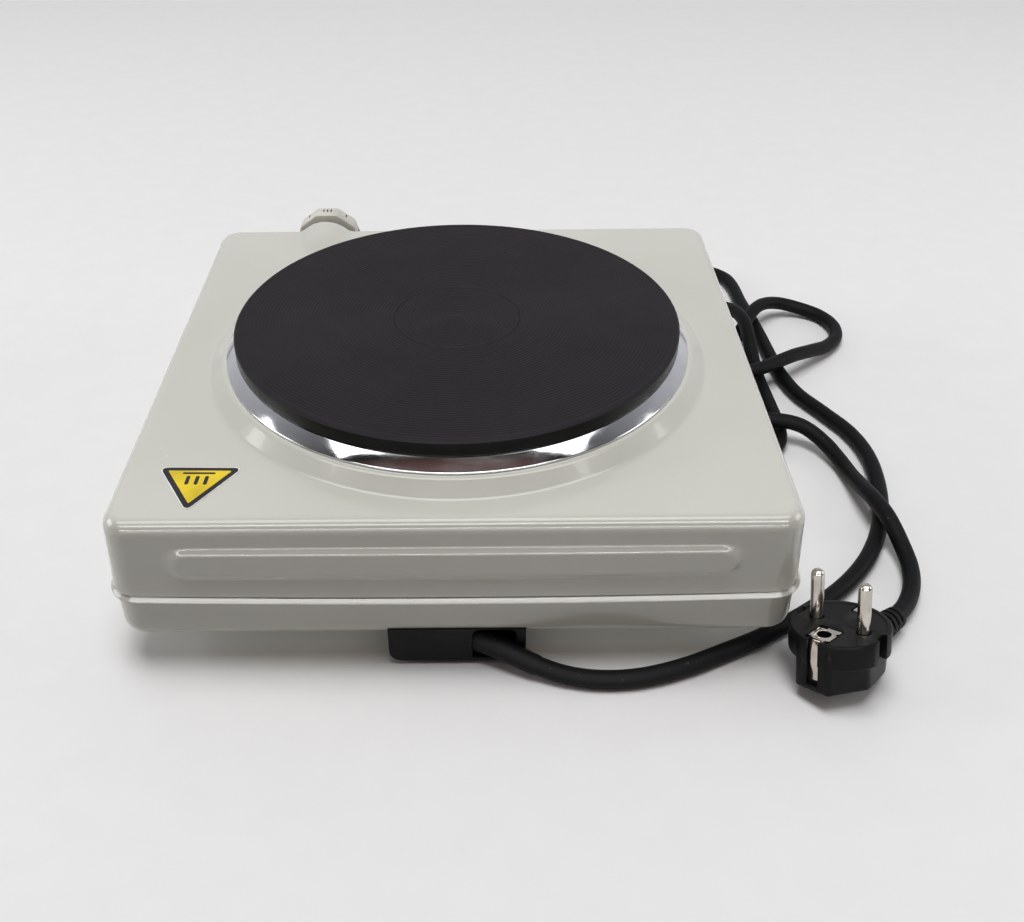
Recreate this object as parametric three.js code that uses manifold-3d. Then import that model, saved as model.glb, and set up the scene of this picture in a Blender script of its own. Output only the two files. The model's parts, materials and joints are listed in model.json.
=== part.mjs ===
// A free-standing electric hot plate: one cast-iron plate in an enamelled steel casing,
// with a thermostat behind its knob and a mains cord folded beside it.
// Millimetres, +Z up. The origin is on the table, under the middle of the appliance.
// -Y is the rear, where the cord leaves, and +Y is the front, where the knob is.
import * as THREE from 'three';
import { mergeVertices } from 'three/addons/utils/BufferGeometryUtils.js';
import Module from 'manifold-3d';

const wasm = await Module();
wasm.setup();

// ---------------------------------------------------------------- driving dimensions
const GAP = 0.3; // clearance between pieces that touch
const SHEET = 1.2; // steel sheet of the casing

const HOUSING_W = 248; // outside at the top fold, left to right
const HOUSING_D = 244; // outside at the top fold, front to rear
const DRAFT = 2; // how far each wall leans out at its lower edge
const CORNER_R = 10; // upright corners of the casing
const FOLD_R = 5; // fold between the top and the walls
const RIB_PROUD = 1.2; // how far the rear rib stands out
const KNOB_REACH = 15; // knob's face in front of the front wall
const CENTRE_Y = -5; // the casing's middle
const PLATE_Y = -9.75; // the cooking plate's middle
const FRONT_Y = CENTRE_Y + HOUSING_D / 2;
const REAR_Y = CENTRE_Y - HOUSING_D / 2;

const PLATE_TOP_Z = 84;
const PLATE_R = 92.5;
const PLATEAU_Z = 72.6; // raised ring of the casing that carries the trim ring
const TOP_Z = 67; // flat top of the casing
const SKIRT_Z = 36; // lower edge of the top shell
const LIP_TOP_Z = 35.3; // rolled lip of the base pan
const LIP_BOTTOM_Z = 33.7;
const LIP_OUTSET = 3.4; // lip's edge outside the top fold's outline
const PAN_OUTSET = 0.8; // base pan's wall outside the top fold's outline
const PAN_EDGE_R = 5.2; // round lower edge of the base pan
const FLOOR_Z = 15; // underside of the base pan
const PLATE_HOLE_R = 88.5;

const KNOB_X = -70;
const KNOB_Z = 57;
const KNOB_R = 17.2; // across the corners, halved
const KNOB_SIDES = 10;
const KNOB_REAR_Y = 119;
const SHAFT_R = 3;
const BOSS_R = 15.5; // bulge in the casing round the shaft

const FOOT_X = 85;
const FOOT_Y = 76; // from the casing's middle
const POST_X = 102; // screw posts in the four corners
const POST_Y = 101;

const CORD_R = 3.5;
const BOX_HALF_W = 26; // terminal box under the rear
const BOX_REAR_Y = -128.2;
const BOX_FRONT_Y = -88;
const BOX_BOTTOM_Z = 2;
const BOX_WALL = 1.2;
const RECESS_X = 6; // the cord leaves the box through this wall, into a pocket open to the rear
const RECESS_Y = -112;
const RECESS_TOP_Z = 13.4;

const PLUG_AT = [139.2, -132.5, 24]; // middle of the plug's pin face
const PLUG_TURN = [-7.4, -14.4, -48.6]; // degrees about X, Y and Z, applied Y, then X, then Z
const PLUG_DEPTH = 20.6; // pin face to the bottom of the grip
const PLUG_R = 18;
const PIN_R = 2.4;
const PIN_APART = 19;
const PIN_LENGTH = 19;
const RELIEF_END = 40; // strain relief's tip, from the middle of the pin face
const RELIEF_DROP = 14.2; // cord's centre below the pin face

const ROUND = 48; // sides of the large turned pieces that show
const ROUND_INSIDE = 28; // and of the hidden ones

// ---------------------------------------------------------------- colours
const steel = { roughness: 0.35, metalness: 0.9 };
const finishes = {
  cream_enamel: { color: 0xcfcfc4, roughness: 0.25, metalness: 0 },
  cast_iron: { color: 0x2b282b, roughness: 0.6, metalness: 0.3 },
  chrome: { color: 0xd8d8d8, roughness: 0.08, metalness: 1 },
  yellow_label: { color: 0xe8b91c, roughness: 0.5, metalness: 0 },
  black_rubber: { color: 0x17181a, roughness: 0.7, metalness: 0 },
  black_plastic: { color: 0x141516, roughness: 0.5, metalness: 0 },
  cream_plastic: { color: 0xd6d5cb, roughness: 0.4, metalness: 0 },
  nickel: { color: 0xc9c5bb, roughness: 0.2, metalness: 1 },
  zinc_steel: { color: 0xa9abab, ...steel },
  ceramic: { color: 0xe4ddd0, roughness: 0.8, metalness: 0 },
  heater: { color: 0x6a625c, ...steel },
  red_wire: { color: 0x7a3a22, roughness: 0.6, metalness: 0 },
  blue_wire: { color: 0x2b4f86, roughness: 0.6, metalness: 0 },
  green_wire: { color: 0x5f8b2e, roughness: 0.6, metalness: 0 },
};

// ---------------------------------------------------------------- solids from three.js geometry
function signedVolume(points, triangles) {
  const [a, b, c] = [new THREE.Vector3(), new THREE.Vector3(), new THREE.Vector3()];
  let volume = 0;
  for (let i = 0; i < triangles.length; i += 3) {
    a.fromArray(points, 3 * triangles[i]);
    b.fromArray(points, 3 * triangles[i + 1]);
    c.fromArray(points, 3 * triangles[i + 2]);
    volume += a.dot(b.cross(c)) / 6;
  }
  return volume;
}

// A closed geometry as a solid: shared vertices merged, slivers dropped, faces turned outwards.
function solid(geometry) {
  const bare = geometry.clone();
  bare.deleteAttribute('normal');
  bare.deleteAttribute('uv');
  const merged = mergeVertices(bare, 1e-4);
  const points = merged.attributes.position.array;
  const index = merged.index.array;
  const kept = [];
  for (let i = 0; i < index.length; i += 3) {
    const [a, b, c] = [index[i], index[i + 1], index[i + 2]];
    if (a !== b && b !== c && c !== a) kept.push(a, b, c);
  }
  if (signedVolume(points, kept) < 0) kept.reverse();
  return new wasm.Manifold(new wasm.Mesh({
    numProp: 3,
    vertProperties: new Float32Array(points),
    triVerts: new Uint32Array(kept),
  }));
}

function join(...geometries) {
  return geometries.map(solid).reduce((sum, next) => sum.add(next));
}

function cut(body, ...tools) {
  return tools.reduce((rest, tool) => rest.subtract(solid(tool)), body);
}

function geometryOf(body) {
  const { vertProperties, triVerts } = body.getMesh();
  const geometry = new THREE.BufferGeometry();
  geometry.setAttribute('position', new THREE.BufferAttribute(vertProperties, 3));
  geometry.setIndex(new THREE.BufferAttribute(triVerts, 1));
  geometry.computeVertexNormals();
  return geometry;
}

const materials = {};
for (const [name, values] of Object.entries(finishes)) {
  materials[name] = new THREE.MeshStandardMaterial({ name, ...values });
}

// A piece is one named mesh, made from a solid or from a closed geometry.
function piece(name, finish, shape) {
  const body = shape.isBufferGeometry ? solid(shape) : shape;
  const mesh = new THREE.Mesh(geometryOf(body), materials[finish]);
  mesh.name = name;
  return mesh;
}

// ---------------------------------------------------------------- simple shapes
function box([x0, x1], [y0, y1], [z0, z1]) {
  const geometry = new THREE.BoxGeometry(x1 - x0, y1 - y0, z1 - z0);
  return geometry.translate((x0 + x1) / 2, (y0 + y1) / 2, (z0 + z1) / 2);
}

// Turned shapes: the profile's points are [radius, height], turned about Z.
function turned(profile, sides = 24) {
  const points = profile.map(([r, z]) => new THREE.Vector2(r, z));
  return new THREE.LatheGeometry(points, sides).rotateX(Math.PI / 2);
}

// The same, turned about an axis along +Y through [x, z].
function turnedAlongY(profile, [x, z], sides = 24) {
  return turned(profile, sides).rotateX(-Math.PI / 2).translate(x, 0, z);
}

function rod(radius, z0, z1, [x, y] = [0, 0], sides = 16) {
  return turned([[0, z0], [radius, z0], [radius, z1], [0, z1]], sides).translate(x, y, 0);
}

function rodAlongY(radius, y0, y1, place, sides = 16) {
  return turnedAlongY([[0, y0], [radius, y0], [radius, y1], [0, y1]], place, sides);
}

// The outline of a rectangle with round corners, at one height.
function roundedOutline(width, depth, radius, z, steps = 4) {
  const centres = [[1, 1], [-1, 1], [-1, -1], [1, -1]];
  return centres.flatMap(([sx, sy], corner) => {
    const points = [];
    for (let i = 0; i <= steps; i += 1) {
      const angle = (corner + i / steps) * Math.PI / 2;
      const x = sx * (width / 2 - radius) + radius * Math.cos(angle);
      const y = sy * (depth / 2 - radius) + radius * Math.sin(angle);
      points.push(new THREE.Vector3(x, y, z));
    }
    return points;
  });
}

// A closed body through outlines of equal point counts, the lowest first.
function loft(outlines) {
  const count = outlines[0].length;
  const points = outlines.flat();
  const ends = [outlines[0], outlines.at(-1)].map((outline) => {
    const middle = new THREE.Vector3();
    outline.forEach((point) => middle.addScaledVector(point, 1 / count));
    return middle;
  });
  const index = [];
  for (let level = 0; level + 1 < outlines.length; level += 1) {
    for (let i = 0; i < count; i += 1) {
      const a = level * count + i;
      const b = level * count + (i + 1) % count;
      index.push(a, b, b + count, a, b + count, a + count);
    }
  }
  const last = (outlines.length - 1) * count;
  for (let i = 0; i < count; i += 1) {
    const next = (i + 1) % count;
    index.push(points.length, next, i);
    index.push(points.length + 1, last + i, last + next);
  }
  const geometry = new THREE.BufferGeometry().setFromPoints([...points, ...ends]);
  geometry.setIndex(index);
  return geometry;
}

// Four copies of a piece, one towards each corner of the casing.
const corners = [
  ['rear_left', -1, -1], ['rear_right', 1, -1], ['front_left', -1, 1], ['front_right', 1, 1],
];

function atCorners(make, x, y) {
  return corners.map(([name, sx, sy]) => make(name, sx * x, CENTRE_Y + sy * y, sx, sy));
}

// ---------------------------------------------------------------- casing
// The drawn top, its walls and fold, made smaller all round by `inside`.
function drawnTop(inside, bottomZ) {
  const outline = (inset, z) => {
    const shrink = 2 * (inside + inset);
    return roundedOutline(HOUSING_W - shrink, HOUSING_D - shrink, CORNER_R - inside - inset, z);
  };
  const foldStart = TOP_Z - FOLD_R;
  const lean = DRAFT * (foldStart - bottomZ) / (foldStart - SKIRT_Z);
  const rings = [outline(-lean, bottomZ), outline(0, foldStart)];
  const foldSteps = 3;
  for (let i = 1; i <= foldSteps; i += 1) {
    const angle = (i / foldSteps) * Math.PI / 2;
    const radius = FOLD_R - inside;
    rings.push(outline(radius * (1 - Math.cos(angle)), foldStart + radius * Math.sin(angle)));
  }
  return loft(rings).translate(0, CENTRE_Y, 0);
}

// The round step up to the plate.
function plateau(inside) {
  const rise = [
    [0, TOP_Z - 10], [106.5 - inside, TOP_Z - 10], [106.5 - inside, TOP_Z - inside],
    [104 - inside, TOP_Z + 0.5 - inside], [98.8 - inside, PLATEAU_Z - 0.6 - inside],
    [97 - inside, PLATEAU_Z - inside], [0, PLATEAU_Z - inside],
  ];
  return turned(rise, ROUND).translate(0, PLATE_Y, 0);
}

// The bulge that lets the thermostat's shaft sit high in the front wall.
function shaftBoss(inside) {
  const nose = [
    [0, -34], [7, -34], [11.5, -28], [14, -20], [BOSS_R, -10], [BOSS_R, -inside], [0, -inside],
  ];
  const profile = nose.map(([r, y]) => [Math.max(r - inside, 0), FRONT_Y + y]);
  return turnedAlongY(profile, [KNOB_X, KNOB_Z], 24);
}

// The long stadium pressed out of the rear wall, with sloping sides.
function rearRib(inside) {
  const [length, height] = [203, 13.5];
  const slope = 2.5; // width of its sloping sides
  const middleZ = 50.5;
  const wallThere = DRAFT * (TOP_Z - FOLD_R - middleZ) / (TOP_Z - FOLD_R - SKIRT_Z);
  const base = roundedOutline(length - 2 * inside, height - 2 * inside, height / 2 - inside, -8);
  const foot = base.map((point) => point.clone().setZ(-inside));
  const crown = roundedOutline(
    length - 2 * (inside + slope), height - 2 * (inside + slope), height / 2 - inside - slope,
    RIB_PROUD - inside,
  );
  return loft([base, foot, crown]).rotateX(Math.PI / 2).translate(0, REAR_Y - wallThere, middleZ);
}

function topShell() {
  const outside = join(drawnTop(0, SKIRT_Z), plateau(0), shaftBoss(0), rearRib(0));
  const hollow = join(drawnTop(SHEET, SKIRT_Z - 5), plateau(SHEET), shaftBoss(SHEET), rearRib(SHEET));
  const plateHole = rod(PLATE_HOLE_R, TOP_Z - 20, TOP_Z + 20, [0, PLATE_Y], ROUND);
  const shaftHole = rodAlongY(5.5, FRONT_Y - 10, FRONT_Y + 10, [KNOB_X, KNOB_Z]);
  return piece('top_shell', 'cream_enamel', cut(outside.subtract(hollow), plateHole, shaftHole));
}

function panBody(inside, topZ) {
  const outline = (inset, z) => {
    const shrink = 2 * (inside + inset - PAN_OUTSET);
    return roundedOutline(HOUSING_W - shrink, HOUSING_D - shrink, CORNER_R - inside - inset, z);
  };
  const radius = PAN_EDGE_R - inside;
  const rings = [];
  const steps = 3;
  for (let i = 0; i <= steps; i += 1) {
    const angle = (i / steps) * Math.PI / 2;
    rings.push(outline(radius * (1 - Math.sin(angle)), FLOOR_Z + inside + radius * (1 - Math.cos(angle))));
  }
  rings.push(outline(0, topZ));
  return loft(rings).translate(0, CENTRE_Y, 0);
}

function panLip() {
  const outline = (inset, z) => {
    const grow = 2 * (LIP_OUTSET - inset);
    return roundedOutline(HOUSING_W + grow, HOUSING_D + grow, CORNER_R + LIP_OUTSET - inset, z);
  };
  const edge = 0.5;
  return loft([
    outline(edge, LIP_BOTTOM_Z), outline(0, LIP_BOTTOM_Z + edge),
    outline(0, LIP_TOP_Z - edge), outline(edge, LIP_TOP_Z),
  ]).translate(0, CENTRE_Y, 0);
}

function coolingSlots() {
  const [length, width, pitch] = [46, 4, 11];
  const slots = [];
  for (const side of [-1, 1]) {
    for (let i = -2; i <= 2; i += 1) {
      const [x, y] = [side * 62, CENTRE_Y + i * pitch];
      slots.push(box([x - length / 2, x + length / 2], [y - width / 2, y + width / 2], [8, 26]));
    }
  }
  return slots;
}

function basePan() {
  const hollow = panBody(SHEET, LIP_TOP_Z + 5);
  const wireHole = box([-14, 14], [-111, -95], [8, 26]);
  const screwHoles = atCorners((name, x, y) => rod(2.2, 8, 26, [x, y], 12), POST_X, POST_Y);
  const footHoles = atCorners((name, x, y) => rod(4.4, 8, 26, [x, y]), FOOT_X, FOOT_Y);
  const boxScrewHoles = BOX_SCREWS.map((place) => rod(1.9, 8, 26, place, 12));
  const earthHole = rod(1.9, 8, 26, EARTH_SCREW, 12);
  const shell = join(panBody(0, LIP_TOP_Z - 1), panLip()).subtract(solid(hollow));
  const holes = [...coolingSlots(), wireHole, ...screwHoles, ...footHoles, ...boxScrewHoles, earthHole];
  return piece('base_pan', 'cream_enamel', cut(shell, ...holes));
}

// A yellow triangle on the top, one corner towards the rear.
function rearLabel() {
  const [x, frontY, side] = [-93.2, -94.4, 28];
  const thick = 0.3;
  const shape = new THREE.Shape();
  shape.moveTo(x - side / 2, frontY);
  shape.lineTo(x + side / 2, frontY);
  shape.lineTo(x, frontY - 0.82 * side);
  const geometry = new THREE.ExtrudeGeometry(shape, { depth: thick, bevelEnabled: false });
  return piece('rear_label', 'yellow_label', geometry.translate(0, 0, TOP_Z + GAP));
}

// Posts that the base pan is screwed to: an angle with a tab for the screw.
function cornerPost(name, x, y, sx, sy) {
  const floor = FLOOR_Z + SHEET + GAP;
  const top = TOP_Z - SHEET - GAP;
  const span = (at, side, from, to) => [at + side * from, at + side * to].sort((a, b) => a - b);
  const tab = box(span(x, sx, -6, 6), span(y, sy, -6, 6), [floor, floor + 1.5]);
  const legX = box(span(x, sx, -6, -4.5), span(y, sy, -6, 6), [floor, top]);
  const legY = box(span(x, sx, -6, 6), span(y, sy, -6, -4.5), [floor, top]);
  const hole = rod(2, floor - 5, floor + 5, [x, y], 12);
  return piece(`corner_post_${name}`, 'zinc_steel', cut(join(tab, legX, legY), hole));
}

function screw(name, headR, shankR, [x, y], headZ, neckZ, tipZ) {
  const profile = [
    [0, headZ], [headR * 0.8, headZ], [headR, headZ + 0.7], [headR, neckZ],
    [shankR, neckZ], [shankR, tipZ], [0, tipZ],
  ];
  return piece(name, 'zinc_steel', turned(profile, 12).translate(x, y, 0));
}

function baseScrew(name, x, y) {
  return screw(`base_screw_${name}`, 3.6, 1.6, [x, y], FLOOR_Z - 2.8, FLOOR_Z - GAP, FLOOR_Z + 8);
}

// A rubber foot, with a stem that is pushed through the floor and holds behind it.
function foot(name, x, y) {
  const inside = FLOOR_Z + SHEET + GAP;
  const profile = [
    [0, 0], [10, 0], [11, 1], [12.5, FLOOR_Z - GAP], [4, FLOOR_Z - GAP],
    [4, inside], [5.2, inside], [3.4, inside + 4], [0, inside + 4],
  ];
  return piece(`foot_${name}`, 'black_rubber', turned(profile, 20).translate(x, y, 0));
}

// ---------------------------------------------------------------- plate
function trimRing() {
  const profile = [
    [96.6, PLATEAU_Z + GAP], [95.2, 75.2], [93, 76.7], [90.5, 77.2], [86.2, 77.2], [86.2, 70.4],
    [87, 70.4], [87, 76.4], [92.4, 75.9], [94.4, 74.4], [95.4, PLATEAU_Z + GAP],
    [96.6, PLATEAU_Z + GAP],
  ];
  return piece('trim_ring', 'chrome', turned(profile, ROUND).translate(0, PLATE_Y, 0));
}

function hotPlate() {
  const profile = [
    [0, 70], [28, 70], [29.5, 76], [82, 76], [82.5, 70], [85.5, 70], [85.5, 77.5],
    [92, 77.5], [PLATE_R, 78], [PLATE_R, PLATE_TOP_Z - 0.8], [PLATE_R - 0.8, PLATE_TOP_Z],
    [0, PLATE_TOP_Z],
  ];
  const iron = solid(turned(profile, ROUND).translate(0, PLATE_Y, 0));
  const studHole = rod(4.3, 60, 77, [0, PLATE_Y]);
  return piece('hot_plate', 'cast_iron', cut(iron, studHole));
}

const COIL_RADII = { heating_coil_inner: 44, heating_coil_outer: 66 };

function heatingCoil([name, radius]) {
  const wire = 2.4;
  const ring = new THREE.TorusGeometry(radius, wire, 6, ROUND_INSIDE);
  return piece(name, 'heater', ring.translate(0, PLATE_Y, 73.2));
}

// Ceramic cement that holds the coils in the plate's underside.
function insulationDisc() {
  const [low, high] = [70.1, 75.6];
  const half = 3.2; // half a groove, which is open above
  const profile = [[31, low], [80.5, low], [80.5, high]];
  for (const radius of Object.values(COIL_RADII).reverse()) {
    profile.push([radius + half, high], [radius + half, low + 0.4]);
    profile.push([radius - half, low + 0.4], [radius - half, high]);
  }
  profile.push([31, high], [31, low]);
  const disc = turned(profile, ROUND_INSIDE);
  return piece('insulation_disc', 'ceramic', disc.translate(0, PLATE_Y, 0));
}

function plateCover() {
  const profile = [
    [6, 68.8], [84, 68.8], [84, 69.6], [6, 69.6], [6, 68.8],
  ];
  return piece('plate_cover', 'zinc_steel', turned(profile, ROUND_INSIDE).translate(0, PLATE_Y, 0));
}

function plateStud() {
  const profile = [[0, 51], [3, 51], [3.8, 52], [3.8, 76], [3.4, 76.6], [0, 76.6]];
  return piece('plate_stud', 'zinc_steel', turned(profile, 16).translate(0, PLATE_Y, 0));
}

// The strap that clamps the plate down on the casing. Its raised ends press up under the plateau.
function clampStrap() {
  const [end, knee, low, thick, half] = [94, 89.6, 60, 1.6, 11];
  const high = PLATEAU_Z - SHEET - GAP - thick;
  const outline = [
    [-end, high], [-knee - thick, high], [-knee, low], [knee, low], [knee + thick, high], [end, high],
    [end, high + thick], [knee, high + thick], [knee - thick, low + thick],
    [-knee + thick, low + thick], [-knee, high + thick], [-end, high + thick],
  ];
  const shape = new THREE.Shape(outline.map(([x, z]) => new THREE.Vector2(x, z)));
  const strip = new THREE.ExtrudeGeometry(shape, { depth: 2 * half, bevelEnabled: false });
  const bar = solid(strip.rotateX(Math.PI / 2).translate(0, PLATE_Y + half, 0));
  return piece('clamp_strap', 'zinc_steel', cut(bar, rod(4.3, 50, 70, [0, PLATE_Y])));
}

function washer(name, inner, outer, z0, z1, place) {
  const ring = turned([[inner, z0], [outer, z0], [outer, z1], [inner, z1], [inner, z0]], 16);
  return piece(name, 'zinc_steel', ring.translate(...place, 0));
}

function studNut() {
  const nut = rod(6.9, 52.6, 57.8, [0, PLATE_Y], 6);
  return piece('stud_nut', 'zinc_steel', cut(solid(nut), rod(4.1, 50, 60, [0, PLATE_Y])));
}

// Terminals of the coils, under the plate's cover.
const PLATE_BLOCK = { x: [-15, 15], y: [24, 38], z: [59, 68.5] };

function plateTerminals() {
  return piece('plate_terminals', 'ceramic', box(PLATE_BLOCK.x, PLATE_BLOCK.y, PLATE_BLOCK.z));
}

function thermalCutout() {
  const profile = [[0, 60], [6, 60], [6, 64], [8, 64], [8, 68.5], [0, 68.5]];
  return piece('thermal_cutout', 'zinc_steel', turned(profile, 16).translate(36, 26, 0));
}

// A dished sheet over the floor that keeps the plate's heat off the table.
function heatShield() {
  const rim = FLOOR_Z + SHEET + GAP;
  const profile = [
    [12, 24], [80, 24], [84, rim], [85, rim], [81, 25], [12, 25], [12, 24],
  ];
  return piece('heat_shield', 'zinc_steel', turned(profile, ROUND_INSIDE).translate(0, PLATE_Y, 0));
}

// ---------------------------------------------------------------- thermostat and knob
const THERMOSTAT = { x: [-87, -53], y: [72, 98], z: [38, 64.5] };
const THERMOSTAT_SCREW_X = 12;

function thermostatBody() {
  const block = solid(box(THERMOSTAT.x, THERMOSTAT.y, THERMOSTAT.z));
  const shaftBore = rodAlongY(SHAFT_R + GAP, 88, 110, [KNOB_X, KNOB_Z]);
  const screwBores = [-1, 1].map(
    (side) => rodAlongY(1.5, 90, 110, [KNOB_X + side * THERMOSTAT_SCREW_X, KNOB_Z - 9], 10),
  );
  return piece('thermostat_body', 'ceramic', cut(block, shaftBore, ...screwBores));
}

function thermostatBracket() {
  const [y0, y1] = [98 + GAP, 99.8];
  const wallY = FRONT_Y - SHEET - GAP;
  const [x0, x1] = [KNOB_X - 20, KNOB_X + 20];
  const height = [40, 61];
  const back = box([x0, x1], [y0, y1], height);
  const arms = [[x0, x0 + 1.5], [x1 - 1.5, x1]].map((x) => box(x, [y0, wallY], height));
  const shaftHole = rodAlongY(4.5, 90, 108, [KNOB_X, KNOB_Z]);
  const screwHoles = [-1, 1].map(
    (side) => rodAlongY(1.7, 90, 108, [KNOB_X + side * THERMOSTAT_SCREW_X, KNOB_Z - 9], 10),
  );
  return piece('thermostat_bracket', 'zinc_steel', cut(join(back, ...arms), shaftHole, ...screwHoles));
}

function thermostatScrew(name, side) {
  const neck = 99.8 + GAP;
  const profile = [[0, 91], [1.2, 91], [1.2, neck], [2.6, neck], [2.6, neck + 1.6], [0, neck + 1.6]];
  const place = [KNOB_X + side * THERMOSTAT_SCREW_X, KNOB_Z - 9];
  return piece(`thermostat_screw_${name}`, 'zinc_steel', turnedAlongY(profile, place, 12));
}

// The threaded bush that guides the shaft through the front wall.
function shaftBush() {
  const bore = SHAFT_R + GAP;
  const nutRear = FRONT_Y + 1.3; // clear of the wall, which leans out below
  const profile = [
    [bore, 102.8], [5.1, 102.8], [5.1, nutRear], [7.5, nutRear],
    [7.5, nutRear + 1.4], [bore, nutRear + 1.4], [bore, 102.8],
  ];
  return piece('shaft_bush', 'zinc_steel', turnedAlongY(profile, [KNOB_X, KNOB_Z], 20));
}

function thermostatShaft() {
  const shaft = solid(rodAlongY(SHAFT_R, 89, 128, [KNOB_X, KNOB_Z], 20));
  const flat = box([KNOB_X - 5, KNOB_X + 5], [118, 130], [KNOB_Z + 1.6, KNOB_Z + 5]);
  return piece('thermostat_shaft', 'zinc_steel', cut(shaft, flat));
}

function knob() {
  const face = FRONT_Y + KNOB_REACH;
  const grip = [
    [0, KNOB_REAR_Y], [KNOB_R - 0.4, KNOB_REAR_Y], [KNOB_R, KNOB_REAR_Y + 1], [KNOB_R, face - 3.5],
    [KNOB_R - 2, face - 0.4], [KNOB_R - 3.5, face], [0, face],
  ];
  // a turned ten-sided body with a flat towards the top
  const turn = Math.PI / KNOB_SIDES;
  const outside = turnedAlongY(grip, [0, 0], KNOB_SIDES).rotateY(turn).translate(KNOB_X, 0, KNOB_Z);
  const hubRear = KNOB_REAR_Y + 1.2;
  const recess = [
    [0, KNOB_REAR_Y - 1], [12.8, KNOB_REAR_Y - 1], [12.8, face - 4], [6, face - 4],
    [6, hubRear], [0, hubRear],
  ];
  const hollow = turnedAlongY(recess, [KNOB_X, KNOB_Z], 20);
  const bore = rodAlongY(SHAFT_R + GAP, KNOB_REAR_Y - 1, 128.4, [KNOB_X, KNOB_Z], 20);
  return piece('knob', 'cream_plastic', cut(solid(outside), hollow, bore));
}

// ---------------------------------------------------------------- terminal box
const BOX_SCREWS = [[-20, -95.5], [20, -95.5]];
const EARTH_SCREW = [34, -106];
const BOX_TOP_Z = FLOOR_Z - GAP;
const CLAMP_POSTS = [[-4, -111.8], [-9, -123]];
const CLAMP_Z = 12.4;
const CLAMP_THICK = 1;
const CABLE_HOLE_SIDES = 16;

function terminalBox() {
  const floor = BOX_BOTTOM_Z + BOX_WALL;
  const outside = box([-BOX_HALF_W, BOX_HALF_W], [BOX_REAR_Y, BOX_FRONT_Y], [BOX_BOTTOM_Z, BOX_TOP_Z]);
  const inX = [-BOX_HALF_W + BOX_WALL, BOX_HALF_W - BOX_WALL];
  const inY = [BOX_REAR_Y + BOX_WALL, BOX_FRONT_Y - BOX_WALL];
  const hollow = solid(box(inX, inY, [floor, 30]));
  const pocketWalls = box([RECESS_X - BOX_WALL, 40], [-140, RECESS_Y + BOX_WALL], [0, 30]);
  const screwTowers = BOX_SCREWS.map((place) => rod(4.4, floor - 1, BOX_TOP_Z, place));
  const clampPosts = CLAMP_POSTS.map((place) => rod(2.4, floor - 1, CLAMP_Z - GAP, place, 12));
  const shell = cut(solid(outside), geometryOf(cut(hollow, pocketWalls)));
  const withPosts = [...screwTowers, ...clampPosts].reduce((sum, next) => sum.add(solid(next)), shell);
  const pocket = box([RECESS_X, BOX_HALF_W - BOX_WALL], [-140, RECESS_Y], [floor, RECESS_TOP_Z]);
  const bores = BOX_SCREWS.flatMap((place) => [rod(1.9, 0, 30, place, 12), rod(3.6, 0, 4.8, place)]);
  const clampBores = CLAMP_POSTS.map((place) => rod(1.2, 6, 30, place, 10));
  const cordHole = cordStretch(
    BUSHING_START, BUSHING_END, SLEEVE_HOLE_R, 4, CABLE_HOLE_SIDES,
  );
  return piece('terminal_box', 'black_plastic', cut(withPosts, pocket, ...bores, ...clampBores, cordHole));
}

function boxScrew(name, place) {
  return screw(`box_screw_${name}`, 3.2, 1.5, place, 2.4, 4.8 - GAP, 21);
}

const TERMINALS = { x: [-15, 15], y: [-107.5, -97.5], top: 13.8 };

function terminalBlock() {
  const floor = BOX_BOTTOM_Z + BOX_WALL + GAP;
  const block = solid(box(TERMINALS.x, TERMINALS.y, [floor, TERMINALS.top]));
  const waists = [-5.2, 5.2].map((x) => box([x - 0.8, x + 0.8], [-120, -90], [10, 20]));
  return piece('terminal_block', 'ceramic', cut(block, ...waists));
}

// A bar over the cord, screwed to two posts.
function cordClamp() {
  const [[x0, y0], [x1, y1]] = CLAMP_POSTS;
  const long = Math.hypot(x1 - x0, y1 - y0) + 3.4;
  const bar = new THREE.BoxGeometry(5, long, CLAMP_THICK).rotateZ(Math.atan2(x1 - x0, y0 - y1));
  bar.translate((x0 + x1) / 2, (y0 + y1) / 2, CLAMP_Z + CLAMP_THICK / 2);
  const holes = CLAMP_POSTS.map((place) => rod(1.4, 8, 25, place, 10));
  return piece('cord_clamp', 'zinc_steel', cut(solid(bar), ...holes));
}

function clampScrew(name, [x, y]) {
  const neck = CLAMP_Z + CLAMP_THICK + GAP;
  const profile = [[0, 7], [0.9, 7], [0.9, neck], [2, neck], [2, neck + 0.9], [0, neck + 0.9]];
  return piece(`clamp_screw_${name}`, 'zinc_steel', turned(profile, 10).translate(x, y, 0));
}

function earthScrew() {
  const floor = FLOOR_Z + SHEET + GAP;
  const profile = [
    [0, FLOOR_Z - 2], [1.5, FLOOR_Z - 2], [1.5, floor], [3.4, floor], [3.4, floor + 2], [0, floor + 2],
  ];
  return piece('earth_screw', 'zinc_steel', turned(profile, 12).translate(...EARTH_SCREW, 0));
}

// ---------------------------------------------------------------- inside wiring
const vectors = (list) => list.map((point) => new THREE.Vector3(...point));

function circle(radius, sides) {
  const points = [];
  for (let i = 0; i < sides; i += 1) {
    const angle = (i / sides) * 2 * Math.PI;
    points.push(new THREE.Vector2(radius * Math.cos(angle), radius * Math.sin(angle)));
  }
  return new THREE.Shape(points);
}

function tube(curve, radius, sides, steps) {
  return new THREE.ExtrudeGeometry(circle(radius, sides), { steps, extrudePath: curve });
}

function wire(name, finish, points) {
  const curve = new THREE.CatmullRomCurve3(vectors(points), false, 'centripetal');
  return piece(name, finish, tube(curve, 1.3, 8, 12));
}

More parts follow.
